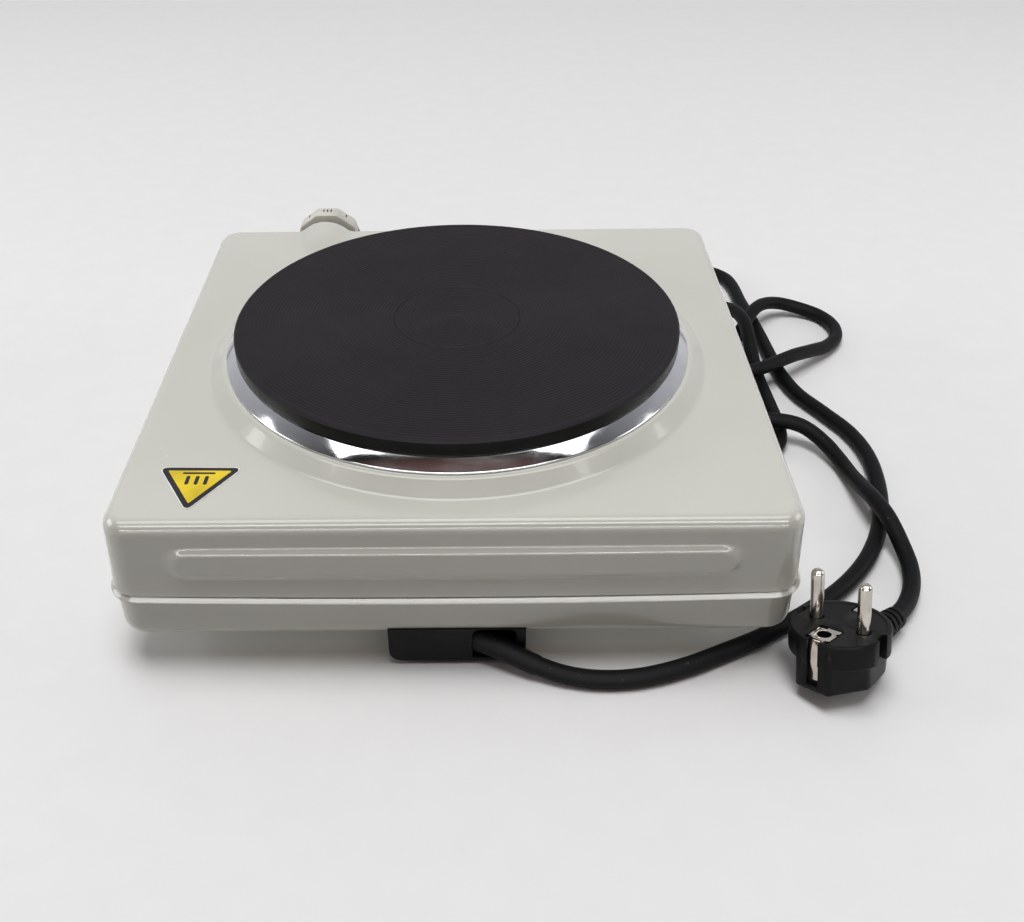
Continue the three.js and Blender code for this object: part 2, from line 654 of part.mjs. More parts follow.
const wires = () => [
  wire('lead_live', 'red_wire', [
    [-11, -101, 14.2], [-11, -101, 30], [-24, -86, 36], [-60, -50, 38], [-80, 0, 40],
    [-80, 44, 42], [-76, 62, 47], [-76, 71.6, 48],
  ]),
  wire('lead_switched', 'red_wire', [
    [-62, 71.6, 48], [-61, 62, 47], [-50, 44, 44], [-30, 32, 44], [-14, 30, 45], [-10, 30, 50],
    [-10, 30, 58.4],
  ]),
  wire('lead_neutral', 'blue_wire', [
    [0, -101, 14.2], [0, -101, 30], [8, -86, 36], [26, -50, 38], [30, -10, 40], [20, 16, 43],
    [10, 28, 46], [9, 30, 51], [9, 30, 58.4],
  ]),
  wire('lead_earth', 'green_wire', [
    [10, -101, 16.4], [10, -101, 26], [16, -103, 30], [26, -105, 31], [33, -106, 28], [34, -106, 23],
  ]),
];

// ---------------------------------------------------------------- cord
// Its centreline, from the clamp in the terminal box to the plug's strain relief.
const FOLD_TURN_R = 21.5;

function turn([x, y], from, to, z) {
  const points = [];
  const steps = 6;
  for (let i = 0; i <= steps; i += 1) {
    const angle = THREE.MathUtils.degToRad(from + (to - from) * i / steps);
    points.push([x + FOLD_TURN_R * Math.cos(angle), y + FOLD_TURN_R * Math.sin(angle), z]);
  }
  return points;
}

const CORD_ROUTE = [
  [-14, -114, 8.6], [-4, -118.5, 8.6], [6, -123, 8.5], [17, -128.3, 7.9], [29, -133.8, 5.4],
  [41, -138, 3.9], [54, -140, 3.6], [68, -139, 3.6], [84, -134.3, 3.6], [100, -127, 3.6],
  [116, -119, 3.6], [131, -109.5, 3.6], [146, -98.5, 3.6], [159, -86.5, 3.6], [170, -72.5, 3.6],
  [178.5, -57, 3.6], [184.5, -40, 3.6], [188.5, -20, 3.6], [189.5, 0, 3.6], [186, 18, 3.6],
  [177.5, 36, 3.6], [169, 53, 3.6], [164.6, 72, 3.6],
  // into the hank: the far fold, back along its left side, and the near fold
  [163, 92, 3.6], [162, 112, 3.6], [160.5, 132, 3.6], [158.5, 152, 3.6],
  ...turn([136, 171], 0, 180, 3.6),
  [117, 155, 4], [126, 142.5, 6.4], [138, 132.5, 10.8], [147, 120.5, 15.2], [150.4, 107, 16.4],
  [151, 94, 13.6], [151.5, 81, 8], [152, 68, 4.1], [152.5, 54, 3.6], [153, 38, 3.6],
  ...turn([131.5, 20], 0, -180, 3.6),
  [112, 36, 3.6], [118, 54, 3.6], [127, 71, 3.8], [137, 87, 4.4], [145.5, 101, 6.2],
  // the loose loop
  [153, 114, 9.2], [160.5, 127, 11.3], [168, 136, 10.4], [178, 141.8, 7.6], [189.5, 141.2, 4.8],
  [199.5, 134.5, 3.6], [204.5, 122, 3.6], [202.5, 109, 3.7], [194.5, 98, 4.8], [184, 88.5, 7.8],
  [172.5, 79, 10.8], [160.5, 70.5, 11.4],
  // back over the hank, round under the casing's edge, and out again
  [148, 63, 11.5],
  ...turn([131.5, 38.4], 97, 272, 11.1),
  [149, 18.2, 11.3],
  // to the plug, over the first stretch
  [161.5, 15.2, 9.8], [170, 6.6, 6.8], [175, -5, 4.6], [177.2, -18, 5], [177.8, -31, 8.6],
  [179, -44, 11.5], [181.5, -56, 11.2], [184.2, -68, 7], [184.8, -80, 4.4], [182, -91.5, 3.8],
  [176.8, -101.6, 4.2], [170.4, -109.4, 5.1],
];

const cordCurve = new THREE.CatmullRomCurve3(vectors(CORD_ROUTE), false, 'centripetal');
cordCurve.arcLengthDivisions = 2000;
const CORD_LENGTH = cordCurve.getLength();

// Part of the cord's curve, between two distances along it.
class Stretch extends THREE.Curve {
  constructor(from, to) {
    super();
    this.from = from / CORD_LENGTH;
    this.to = to / CORD_LENGTH;
  }

  getPoint(t, target = new THREE.Vector3()) {
    return cordCurve.getPointAt(THREE.MathUtils.lerp(this.from, this.to, t), target);
  }
}

function cordStretch(from, to, radius = CORD_R, stepLength = 13, sides = 8) {
  const steps = Math.max(1, Math.round((to - from) / stepLength));
  return tube(new Stretch(from, to), radius, sides, steps);
}

// Distances along the cord: where it enters the hank, and where the loop and the last stretch,
// which start inside the hank's outline, begin and end.
const HANK_ENTRY = 376;
const LOOP_START = 880;
const LOOP_END = 1030;
const HANK_EXIT = 1130;

// The outer shape of the hank, made wider by `margin`.
function hankOutline(margin) {
  const [high, low, casingEdge] = [20.4, 14.6, 125.2];
  const [nearRight, farRight] = [157.2 + margin, 169 + margin];
  const shoulderY = 84 - margin;
  const radius = FOLD_TURN_R + CORD_R + 0.6 + margin;
  const shape = new THREE.Shape();
  shape.moveTo(nearRight, 20);
  shape.lineTo(nearRight, shoulderY);
  shape.lineTo(farRight, shoulderY);
  shape.lineTo(farRight - 1, 120);
  shape.absarc(136, 171, radius, 0, Math.PI, false);
  shape.lineTo(131.5 - radius, 20);
  shape.absarc(131.5, 20, radius, Math.PI, 2 * Math.PI, false);
  const slab = new THREE.ExtrudeGeometry(
    shape, { depth: high - 0.2, bevelEnabled: false, curveSegments: 10 },
  );
  const underCasing = box([90, casingEdge], [-30, 120], [low + margin, 40]);
  return cut(solid(slab.translate(0, 0, 0.2)), underCasing);
}

function cordOutsideHank(name, from, to) {
  const run = solid(cordStretch(from, to)).subtract(hankOutline(GAP));
  return piece(name, 'black_rubber', run);
}

const SLEEVE_R = 4.45;
const SLEEVE_TIP_R = 4.25;
const SLEEVE_HOLE_R = 4.85;
const SLEEVE_FLANGE_R = 5.1;
const BUSHING_START = 12; // distances along the cord
const BUSHING_END = 48;
const FLANGE_END = 14.6;

// The sleeve round the cord where it leaves the box: a flange inside the box's wall, then a
// smooth tube that grows slimmer along the cord.
function cordBushing() {
  const upwards = new THREE.Vector3(0, 0, 1);
  const steps = 9;
  const rings = [];
  for (let i = 0; i <= steps; i += 1) {
    const at = THREE.MathUtils.lerp(BUSHING_START, BUSHING_END, i / steps) / CORD_LENGTH;
    const middle = cordCurve.getPointAt(at);
    const along = cordCurve.getTangentAt(at);
    const side = upwards.clone().cross(along).normalize();
    const across = along.clone().cross(side);
    const section = circle(THREE.MathUtils.lerp(SLEEVE_R, SLEEVE_TIP_R, i / steps), 12);
    rings.push(section.extractPoints(1).shape.slice(0, 12).map(
      ({ x, y }) => middle.clone().addScaledVector(side, x).addScaledVector(across, y),
    ));
  }
  const flange = cordStretch(BUSHING_START, FLANGE_END, SLEEVE_FLANGE_R);
  const bore = cordStretch(0, HANK_ENTRY, CORD_R + GAP);
  return piece('cord_bushing', 'black_rubber', cut(solid(loft(rings)).add(solid(flange)), bore));
}

const cordPieces = () => [
  piece('cord_lead', 'black_rubber', cordStretch(0, HANK_ENTRY)),
  piece('cord_hank', 'black_rubber', hankOutline(0)),
  cordOutsideHank('cord_loop', LOOP_START, LOOP_END),
  cordOutsideHank('cord_plug_run', HANK_EXIT, CORD_LENGTH),
];

// ---------------------------------------------------------------- plug
// In its own frame: the pin face is at z = 0, the pins point along +Z and the cord leaves along +Y.
function plugBody() {
  const half = [[6.5, -17.2], [14.6, -4], [13.4, 9], [9, 18]];
  const outline = [...half, ...half.map(([x, y]) => [-x, y]).reverse()];
  const shape = new THREE.Shape(outline.map(([x, y]) => new THREE.Vector2(x, y)));
  const gripDepth = PLUG_DEPTH - 8;
  const grip = new THREE.ExtrudeGeometry(shape, { depth: gripDepth, bevelEnabled: false });
  grip.translate(0, 0, -PLUG_DEPTH);
  const disc = turned([[0, -9.6], [PLUG_R - 0.8, -9.6], [PLUG_R, -8.8], [PLUG_R, -0.8],
    [PLUG_R - 0.8, 0], [0, 0]], ROUND_INSIDE);
  const chamferUnderRelief = box([-20, 20], [0, 40], [-12, 0]).rotateX(0.1);
  chamferUnderRelief.translate(0, 2, -PLUG_DEPTH);
  const sideNotches = [-1, 1].map((side) => {
    const x = [side * 15.4, side * 20].sort((a, b) => a - b);
    return box(x, [-2.6, 2.6], [-9.7, 5]);
  });
  const pinHoles = [-1, 1].map((side) => rod(PIN_R + GAP, -8, 5, [side * PIN_APART / 2, 0]));
  const nearGroove = box([-2.4, 2.4], [-20, -15.6], [-18, 5]);
  const farGroove = box([-2.4, 2.4], [15.6, 20], [-9.7, 5]);
  const nearSeat = box([-4.6, 4.6], [-16, -5], [-1.3, 5]);
  const farSeat = box([-2.4, 2.4], [11.6, 16], [-1.3, 5]);
  const earthHole = rod(2.6, -14, 5, [0, -10]);
  const tools = [chamferUnderRelief, ...sideNotches, ...pinHoles, nearGroove, farGroove, nearSeat,
    farSeat, earthHole];
  return piece('plug_body', 'black_plastic', cut(join(grip, disc), ...tools));
}

function plugPin(name, side) {
  const profile = [
    [0, -7.5], [PIN_R, -7.5], [PIN_R, PIN_LENGTH - 2], [1.9, PIN_LENGTH - 0.7],
    [1, PIN_LENGTH - 0.1], [0, PIN_LENGTH],
  ];
  return piece(`plug_pin_${name}`, 'nickel', turned(profile, 16).translate(side * PIN_APART / 2, 0, 0));
}

// The earth contacts: the near one surrounds the earth hole, and both run down the plug's side.
function nearEarthContact() {
  const seat = box([-4.2, 4.2], [-14.8, -5.5], [-1, -0.2]);
  const tongue = box([-1.7, 1.7], [-17, -14.5], [-1, -0.2]);
  const strip = box([-1.7, 1.7], [-17, -16.2], [-16, -0.2]);
  return piece('plug_earth_near', 'nickel', cut(join(seat, tongue, strip), rod(2.7, -5, 5, [0, -10])));
}

function farEarthContact() {
  const seat = box([-1.7, 1.7], [12, 17], [-1, -0.2]);
  const strip = box([-1.7, 1.7], [16.2, 17], [-9, -0.2]);
  return piece('plug_earth_far', 'nickel', join(seat, strip));
}

function plugRelief() {
  const [start, ribs] = [18.3, 4];
  const radiusAt = (y) => THREE.MathUtils.mapLinear(y, start, RELIEF_END, 6.4, 4.5);
  const pitch = (RELIEF_END - start - 3) / ribs;
  const outline = [[0, start], [radiusAt(start), start]];
  for (let i = 0; i < ribs; i += 1) {
    const y = start + 3 + i * pitch;
    outline.push([radiusAt(y), y], [radiusAt(y) - 1, y], [radiusAt(y) - 1, y + 1.2]);
    outline.push([radiusAt(y + 1.2), y + 1.2]);
  }
  outline.push([radiusAt(RELIEF_END), RELIEF_END], [0, RELIEF_END]);
  return piece('plug_relief', 'black_rubber', turnedAlongY(outline, [0, -RELIEF_DROP], 12));
}

function plug() {
  const group = new THREE.Group();
  const [turnX, turnY, turnZ] = PLUG_TURN.map(THREE.MathUtils.degToRad);
  group.position.set(...PLUG_AT);
  group.rotation.set(turnX, turnY, turnZ, 'ZXY');
  group.add(
    plugBody(), plugPin('left', -1), plugPin('right', 1), nearEarthContact(), farEarthContact(),
    plugRelief(),
  );
  return group;
}

// ---------------------------------------------------------------- the whole appliance
const hotplate = new THREE.Group();
hotplate.add(
  topShell(), basePan(), rearLabel(), trimRing(), hotPlate(),
  ...Object.entries(COIL_RADII).map(heatingCoil),
  insulationDisc(), plateCover(), plateStud(), clampStrap(),
  washer('stud_washer', 4.2, 8, 58.2, 59.6, [0, PLATE_Y]), studNut(),
  plateTerminals(), thermalCutout(), heatShield(),
  ...atCorners(cornerPost, POST_X, POST_Y), ...atCorners(baseScrew, POST_X, POST_Y),
  ...atCorners(foot, FOOT_X, FOOT_Y),
  thermostatBody(), thermostatBracket(), thermostatScrew('left', -1), thermostatScrew('right', 1),
  shaftBush(), thermostatShaft(), knob(),
  terminalBox(), boxScrew('left', BOX_SCREWS[0]), boxScrew('right', BOX_SCREWS[1]),
  terminalBlock(), cordClamp(), clampScrew('front', CLAMP_POSTS[0]), clampScrew('rear', CLAMP_POSTS[1]),
  cordBushing(), earthScrew(), ...wires(), ...cordPieces(), plug(),
);

export default hotplate;
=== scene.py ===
import json
import math

import bmesh
import bpy
import numpy as np
from mathutils import Matrix, Vector


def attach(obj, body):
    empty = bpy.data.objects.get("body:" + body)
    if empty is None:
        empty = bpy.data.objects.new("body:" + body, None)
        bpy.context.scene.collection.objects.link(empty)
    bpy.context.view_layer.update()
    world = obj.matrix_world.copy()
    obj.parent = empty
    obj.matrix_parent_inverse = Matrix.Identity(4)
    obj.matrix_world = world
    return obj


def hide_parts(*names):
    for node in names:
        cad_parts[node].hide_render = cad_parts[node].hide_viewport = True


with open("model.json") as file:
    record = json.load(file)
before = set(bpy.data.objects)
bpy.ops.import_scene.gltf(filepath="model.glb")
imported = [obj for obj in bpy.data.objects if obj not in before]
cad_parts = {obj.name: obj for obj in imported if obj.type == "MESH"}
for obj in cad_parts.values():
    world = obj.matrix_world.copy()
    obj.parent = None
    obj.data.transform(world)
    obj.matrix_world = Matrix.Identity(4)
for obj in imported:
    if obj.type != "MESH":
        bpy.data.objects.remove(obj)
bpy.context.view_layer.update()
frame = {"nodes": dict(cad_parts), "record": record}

MM = 0.001

# ------------------------------------------------------------------ dimensions, in millimetres
HOUSING_W = 248
HOUSING_D = 244
CENTRE_Y = -5
PLATE_Y = -9.75
FRONT_Y = CENTRE_Y + HOUSING_D / 2
REAR_Y = CENTRE_Y - HOUSING_D / 2
CORNER_R = 10
FOLD_R = 5
FOLD_DROP = 5.6
TOP_Z = 67
PLATEAU_Z = 72.6
SKIRT_Z = 36
PLATE_TOP_Z = 84
PLATE_R = 92.5
FLOOR_Z = 15
KNOB_X = -70
KNOB_Z = 57
KNOB_R = 17.2
KNOB_REAR_Y = 119
KNOB_FACE_Y = FRONT_Y + 15
BOSS_R = 15.5
FOOT_X, FOOT_Y = 85, 76  # from the middle of the housing
CORD_R = 3.5


# ------------------------------------------------------------------ materials
def srgb(red, green, blue):
    """Linear colour from the usual 0 to 255 values."""
    def linear(value):
        value /= 255
        return value / 12.92 if value <= 0.04045 else ((value + 0.055) / 1.055) ** 2.4
    return (linear(red), linear(green), linear(blue), 1)


def set_stops(ramp, stops):
    elements = ramp.color_ramp.elements
    while len(elements) < len(stops):
        elements.new(0.5)
    for element, (position, colour) in zip(elements, stops):
        element.position = position
        element.color = colour


class Nodes:
    """A short way to write a material's nodes."""

    def __init__(self, name, **sockets):
        self.material = bpy.data.materials.new(name)
        self.material.use_nodes = True
        self.tree = self.material.node_tree
        self.shader = self.tree.nodes["Principled BSDF"]
        for socket, value in sockets.items():
            self.shader.inputs[socket.replace("_", " ")].default_value = value
        self.place = self.add("ShaderNodeTexCoord").outputs["Object"]

    def add(self, kind, values=None, links=None, **settings):
        node = self.tree.nodes.new(kind)
        for key, value in settings.items():
            setattr(node, key, value)
        for socket, value in (values or {}).items():
            node.inputs[socket].default_value = value
        for socket, source in (links or {}).items():
            self.tree.links.new(source, node.inputs[socket])
        return node

    def link(self, source, socket):
        self.tree.links.new(source, self.shader.inputs[socket])

    def noise(self, scale, detail=3, stretch=None):
        place = self.place
        if stretch:
            mapping = self.add("ShaderNodeMapping", {"Scale": stretch}, {"Vector": place})
            place = mapping.outputs["Vector"]
        values = {"Scale": scale, "Detail": detail}
        return self.add("ShaderNodeTexNoise", values, {"Vector": place}).outputs["Fac"]

    def ramp(self, source, stops):
        node = self.add("ShaderNodeValToRGB", links={"Fac": source})
        set_stops(node, stops)
        return node.outputs["Color"]

    def span(self, source, low, high, from_low=0, from_high=1):
        """A factor spread from from_low..from_high to low..high."""
        values = {"From Min": from_low, "From Max": from_high, "To Min": low, "To Max": high}
        return self.add("ShaderNodeMapRange", values, {"Value": source}).outputs["Result"]

    def math(self, operation, a, b=None):
        node = self.add("ShaderNodeMath", operation=operation)
        for socket, value in zip(node.inputs, (a, b)):
            if isinstance(value, (int, float)):
                socket.default_value = value
            elif value is not None:
                self.tree.links.new(value, socket)
        return node.outputs["Value"]

    def separate(self, source, index):
        return self.add("ShaderNodeSeparateXYZ", links={"Vector": source}).outputs[index]

    def mix(self, share, a, b):
        """Colour a where share is 0, and b where it is 1."""
        node = self.add("ShaderNodeMix", data_type="RGBA")
        for index, value in ((0, share), (6, a), (7, b)):
            if isinstance(value, (int, float, tuple)):
                node.inputs[index].default_value = value
            else:
                self.tree.links.new(value, node.inputs[index])
        return node.outputs[2]

    def bump(self, height, distance, under=None):
        node = self.add("ShaderNodeBump", {"Distance": distance}, {"Height": height})
        if under:
            self.tree.links.new(under, node.inputs["Normal"])
        return node.outputs["Normal"]


# ------------------------------------------------------------------ meshes
def finish_mesh(name, mesh, material, sharp=35):
    mesh.shade_smooth()
    mesh.set_sharp_from_angle(angle=math.radians(sharp))
    obj = bpy.data.objects.new(name, mesh)
    bpy.context.scene.collection.objects.link(obj)
    for one in material if isinstance(material, (list, tuple)) else [material]:
        mesh.materials.append(one)
    return obj


def mesh_object(name, points, faces, material, sharp=35):
    """A mesh from points in millimetres."""
    mesh = bpy.data.meshes.new(name)
    mesh.from_pydata([tuple(MM * c for c in p) for p in points], [], faces)
    clean_up(mesh)
    return finish_mesh(name, mesh, material, sharp)


def clean_up(mesh):
    work = bmesh.new()
    work.from_mesh(mesh)
    bmesh.ops.remove_doubles(work, verts=work.verts, dist=1e-7)
    bmesh.ops.dissolve_degenerate(work, dist=1e-7, edges=work.edges)
    bmesh.ops.recalc_face_normals(work, faces=work.faces)
    work.to_mesh(mesh)
    work.free()


def skin(rings, closed_end=True, closed_start=True, loop=False):
    """Points and faces of a surface through rings of equal point counts.

    With loop, the last ring is joined to the first, and no end is closed.
    """
    count = len(rings[0])
    points = [p for ring in rings for p in ring]
    faces = []
    pairs = [(i, i + 1) for i in range(len(rings) - 1)]
    if loop:
        pairs.append((len(rings) - 1, 0))
    for a, b in pairs:
        for i in range(count):
            j = (i + 1) % count
            faces.append((a * count + i, a * count + j, b * count + j, b * count + i))
    if closed_start and not loop:
        faces.append(tuple(range(count))[::-1])
    if closed_end and not loop:
        last = (len(rings) - 1) * count
        faces.append(tuple(last + i for i in range(count)))
    return points, faces


def arc(centre, radius, start, end, steps):
    """Points of an arc, with the angles in degrees."""
    points = []
    for i in range(steps + 1):
        angle = math.radians(start + (end - start) * i / steps)
        x, y = radius * math.cos(angle), radius * math.sin(angle)
        points.append((centre[0] + x, centre[1] + y))
    return points


def soften(profile, radius, steps=4, closed=False):
    """The profile with its corners made round. radius is one number, or one per point."""
    count = len(profile)
    radii = radius if isinstance(radius, (list, tuple)) else [radius] * count
    points = []
    for i, corner in enumerate(profile):
        if not closed and i in (0, count - 1) or radii[i] == 0:
            points.append(corner)
            continue
        corner = Vector(corner)
        before = Vector(profile[i - 1]) - corner
        after = Vector(profile[(i + 1) % count]) - corner
        turn = math.pi - before.angle(after)
        if turn < 0.05:
            points.append(tuple(corner))
            continue
        reach = min(radii[i] * math.tan(turn / 2), 0.49 * before.length, 0.49 * after.length)
        start = corner + before.normalized() * reach
        end = corner + after.normalized() * reach
        for k in range(steps + 1):
            t = k / steps
            points.append(tuple(start * (1 - t) ** 2 + corner * 2 * t * (1 - t) + end * t * t))
    return points


def lathe(name, profile, material, sides=128, closed=False, place=(0, 0), sharp=35):
    """A turned piece about Z through place. The profile holds (radius, height)."""
    rings = []
    for radius, z in profile:
        ring = []
        for i in range(sides):
            angle = 2 * math.pi * i / sides
            x, y = radius * math.cos(angle), radius * math.sin(angle)
            ring.append((place[0] + x, place[1] + y, z))
        rings.append(ring)
    points, faces = skin(rings, loop=closed, closed_start=False, closed_end=False)
    return mesh_object(name, points, faces, material, sharp)


def lathe_y(name, profile, material, sides, place):
    """A turned piece about an axis along Y through place, which is (x, z)."""
    obj = lathe(name, [(r, -y) for r, y in profile], material, sides)
    obj.data.transform(Matrix.Rotation(math.radians(90), 4, "X"))
    obj.data.transform(Matrix.Translation((place[0] * MM, 0, place[1] * MM)))
    return obj


def rounded_outline(width, depth, radius, corner_steps=8, side_steps=1):
    """Points of a rectangle with round corners, counter-clockwise."""
    points = []
    for turn, (sx, sy) in enumerate([(1, 1), (-1, 1), (-1, -1), (1, -1)]):
        centre = (sx * (width / 2 - radius), sy * (depth / 2 - radius))
        corner = arc(centre, radius, 90 * turn, 90 * turn + 90, corner_steps)
        nx, ny = [(1, 1), (-1, 1), (-1, -1), (1, -1)][(turn + 1) % 4]
        points += corner
        angle = math.radians(90 * turn + 90)
        goal = (
            nx * (width / 2 - radius) + radius * math.cos(angle),
            ny * (depth / 2 - radius) + radius * math.sin(angle),
        )
        for i in range(1, side_steps):
            t = i / side_steps
            points.append(tuple(a + (b - a) * t for a, b in zip(corner[-1], goal)))
    return points


def boolean(obj, cutters, operation="DIFFERENCE"):
    """Cuts the cutters out of obj, or joins them to it, and removes them."""
    for cutter in cutters:
        modifier = obj.modifiers.new("cut", "BOOLEAN")
        modifier.operation = operation
        modifier.solver = "EXACT"
        modifier.object = cutter
    apply_modifiers(obj)
    for cutter in cutters:
        bpy.data.objects.remove(cutter)


def apply_modifiers(obj, sharp=35):
    bpy.context.view_layer.update()
    graph = bpy.context.evaluated_depsgraph_get()
    mesh = bpy.data.meshes.new_from_object(obj.evaluated_get(graph))
    obj.modifiers.clear()
    obj.data = mesh
    clean_up(mesh)
    mesh.shade_smooth()
    mesh.set_sharp_from_angle(angle=math.radians(sharp))
    return obj


def bevelled(obj, width, segments=3, angle=35):
    modifier = obj.modifiers.new("edges", "BEVEL")
    modifier.width = width * MM
    modifier.segments = segments
    modifier.limit_method = "ANGLE"
    modifier.angle_limit = math.radians(angle)
    modifier.harden_normals = False
    return apply_modifiers(obj)


def block(name, x, y, z, material):
    corners = [(a, b, c) for c in z for b in y for a in x]
    faces = [(0, 1, 3, 2), (4, 5, 7, 6), (0, 1, 5, 4), (2, 3, 7, 6), (0, 2, 6, 4), (1, 3, 7, 5)]
    return mesh_object(name, corners, faces, material)


def prism(name, outline, z0, z1, material):
    rings = [[(x, y, z) for x, y in outline] for z in (z0, z1)]
    points, faces = skin(rings)
    return mesh_object(name, points, faces, material)


def stand_for(obj, body, slot, *nodes):
    """Puts a piece on its body, in place of the CAD's nodes. Its slot argument is not used."""
    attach(obj, body)
    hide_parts(*nodes)


def curve_object(name, places, radii, thickness, resolution, material):
    """A round tube through places, in millimetres. Its radius is thickness times each radii."""
    data = bpy.data.curves.new(name, "CURVE")
    data.dimensions = "3D"
    data.bevel_depth = thickness * MM
    data.bevel_resolution = resolution
    data.use_fill_caps = True
    spline = data.splines.new("POLY")
    spline.points.add(len(places) - 1)
    for point, place, radius in zip(spline.points, places, radii):
        point.co = (*(place * MM), 1)
        point.radius = radius
    spline.use_smooth = True
    obj = bpy.data.objects.new(name, data)
    bpy.context.scene.collection.objects.link(obj)
    data.materials.append(material)
    return obj


# ------------------------------------------------------------------ camera
def add_camera():
    """Stands behind the rear wall and looks down along +Y."""
    data = bpy.data.cameras.new("camera")
    camera = bpy.data.objects.new("camera", data)
    bpy.context.scene.collection.objects.link(camera)
    bpy.context.scene.camera = camera
    data.sensor_width = 36
    data.lens = 39.69
    data.shift_x = 0.0318
    data.clip_start = 0.01
    yaw, pitch, roll = -0.008, math.radians(35.93), -0.013
    level = Vector((math.sin(yaw), math.cos(yaw), 0))
    forward = level * math.cos(pitch) - Vector((0, 0, math.sin(pitch)))
    right = Vector((math.cos(yaw), -math.sin(yaw), 0))
    up = right.cross(forward)
    right, up = (
        right * math.cos(roll) + up * math.sin(roll),
        up * math.cos(roll) - right * math.sin(roll),
    )
    turn = Matrix((right, up, -forward)).transposed().to_4x4()
    camera.matrix_world = Matrix.Translation((0.012, -0.42875, 0.3124)) @ turn


# ------------------------------------------------------------------ cord
FOLD_TURN_R = 21.5


def fold_turn(centre, start, end, z):
    """Level points round one fold of the hank."""
    return [(x, y, z) for x, y in arc(centre, FOLD_TURN_R, start, end, 6)]


CORD_ROUTE = [
    (-14, -114, 8.6), (-4, -118.5, 8.6), (6, -123, 8.5), (17, -128.3, 7.9), (29, -133.8, 5.4),
    (41, -138, 3.9), (54, -140, 3.6), (68, -139, 3.6), (84, -134.3, 3.6), (100, -127, 3.6),
    (116, -119, 3.6), (131, -109.5, 3.6), (146, -98.5, 3.6), (159, -86.5, 3.6), (170, -72.5, 3.6),
    (178.5, -57, 3.6), (184.5, -40, 3.6), (188.5, -20, 3.6), (189.5, 0, 3.6), (186, 18, 3.6),
    (177.5, 36, 3.6), (169, 53, 3.6), (164.6, 72, 3.6),
    # into the hank: the far fold, back along its left side, and the near fold
    (163, 92, 3.6), (162, 112, 3.6), (160.5, 132, 3.6), (158.5, 152, 3.6),
    *fold_turn((136, 171), 0, 180, 3.6),
    (117, 155, 4), (126, 142.5, 6.4), (138, 132.5, 10.8), (147, 120.5, 15.2), (150.4, 107, 16.4),
    (151, 94, 13.6), (151.5, 81, 8), (152, 68, 4.1), (152.5, 54, 3.6), (153, 38, 3.6),
    *fold_turn((131.5, 20), 0, -180, 3.6),
    (112, 36, 3.6), (118, 54, 3.6), (127, 71, 3.8), (137, 87, 4.4), (145.5, 101, 6.2),
    # the loose loop
    (153, 114, 9.2), (160.5, 127, 11.3), (168, 136, 10.4), (178, 141.8, 7.6), (189.5, 141.2, 4.8),
    (199.5, 134.5, 3.6), (204.5, 122, 3.6), (202.5, 109, 3.7), (194.5, 98, 4.8), (184, 88.5, 7.8),
    (172.5, 79, 10.8), (160.5, 70.5, 11.4),
    # back over the hank, round under the casing's edge, and out again
    (148, 63, 11.5),
    *fold_turn((131.5, 38.4), 97, 272, 11.1),
    (149, 18.2, 11.3),
    # to the plug, over the first stretch
    (161.5, 15.2, 9.8), (170, 6.6, 6.8), (175, -5, 4.6), (177.2, -18, 5), (177.8, -31, 8.6),
    (179, -44, 11.5), (181.5, -56, 11.2), (184.2, -68, 7), (184.8, -80, 4.4), (182, -91.5, 3.8),
    (176.8, -101.6, 4.2), (170.4, -109.4, 5.1),
]


def catmull_rom(points, spacing):
    """A centripetal Catmull-Rom curve through the points, sampled about every `spacing`."""
    points = [Vector(p) for p in points]
    ends = [2 * points[0] - points[1], 2 * points[-1] - points[-2]]
    padded = [ends[0], *points, ends[1]]
    found = []
    for p0, p1, p2, p3 in zip(padded, padded[1:], padded[2:], padded[3:]):
        knots = [0.0]
        for a, b in ((p0, p1), (p1, p2), (p2, p3)):
            knots.append(knots[-1] + math.sqrt((b - a).length))
        steps = max(2, round((p2 - p1).length / spacing))
        for i in range(steps):
            t = knots[1] + (knots[2] - knots[1]) * i / steps
            found.append(catmull_point((p0, p1, p2, p3), knots, t))
    found.append(points[-1])
    return found


def catmull_point(points, knots, t):
    def mix(a, b, start, end):
        return (a * (end - t) + b * (t - start)) / (end - start)
    first = [mix(points[i], points[i + 1], knots[i], knots[i + 1]) for i in range(3)]
    second = [mix(first[i], first[i + 1], knots[i], knots[i + 2]) for i in range(2)]
    return mix(*second, knots[1], knots[2])


def add_cord(material):
    """The cord's curve, and its length in metres."""
    line = catmull_rom(CORD_ROUTE, 2.5)
    obj = curve_object("mains_cord", line, [1] * len(line), CORD_R, 6, material)
    length = sum((b - a).length for a, b in zip(line, line[1:])) * MM
    return obj, length


add_camera()


# ------------------------------------------------------------------ finishes
def enamel():
    """Glossy vitreous enamel: a long soft waviness, and a few dark and pale specks."""
    m = Nodes("cream enamel", Roughness=0.2, IOR=1.52, Coat_Weight=0.5, Coat_Roughness=0.04)
    clouds = m.ramp(m.noise(9, 3), [(0.3, srgb(203, 203, 193)), (0.7, srgb(211, 211, 202))])
    cells = m.add("ShaderNodeTexVoronoi", {"Scale": 130.0}, {"Vector": m.place})
    rare = m.math("GREATER_THAN", m.separate(cells.outputs["Color"], 0), 0.985)
    dot = m.math("LESS_THAN", cells.outputs["Distance"], 0.045)
    speck = m.math("MULTIPLY", rare, dot)
    dark_or_pale = [(0.6, srgb(96, 90, 80)), (0.62, srgb(226, 226, 220))]
    tone = m.ramp(m.separate(cells.outputs["Color"], 1), dark_or_pale)
    m.link(m.mix(speck, clouds, tone), "Base Color")
    m.link(m.span(m.noise(160, 3), 0.16, 0.26), "Roughness")
    peel = m.bump(m.noise(420, 2), 0.000006)
    m.link(m.bump(m.noise(28, 2), 0.00005, under=peel), "Normal")
    return m.material


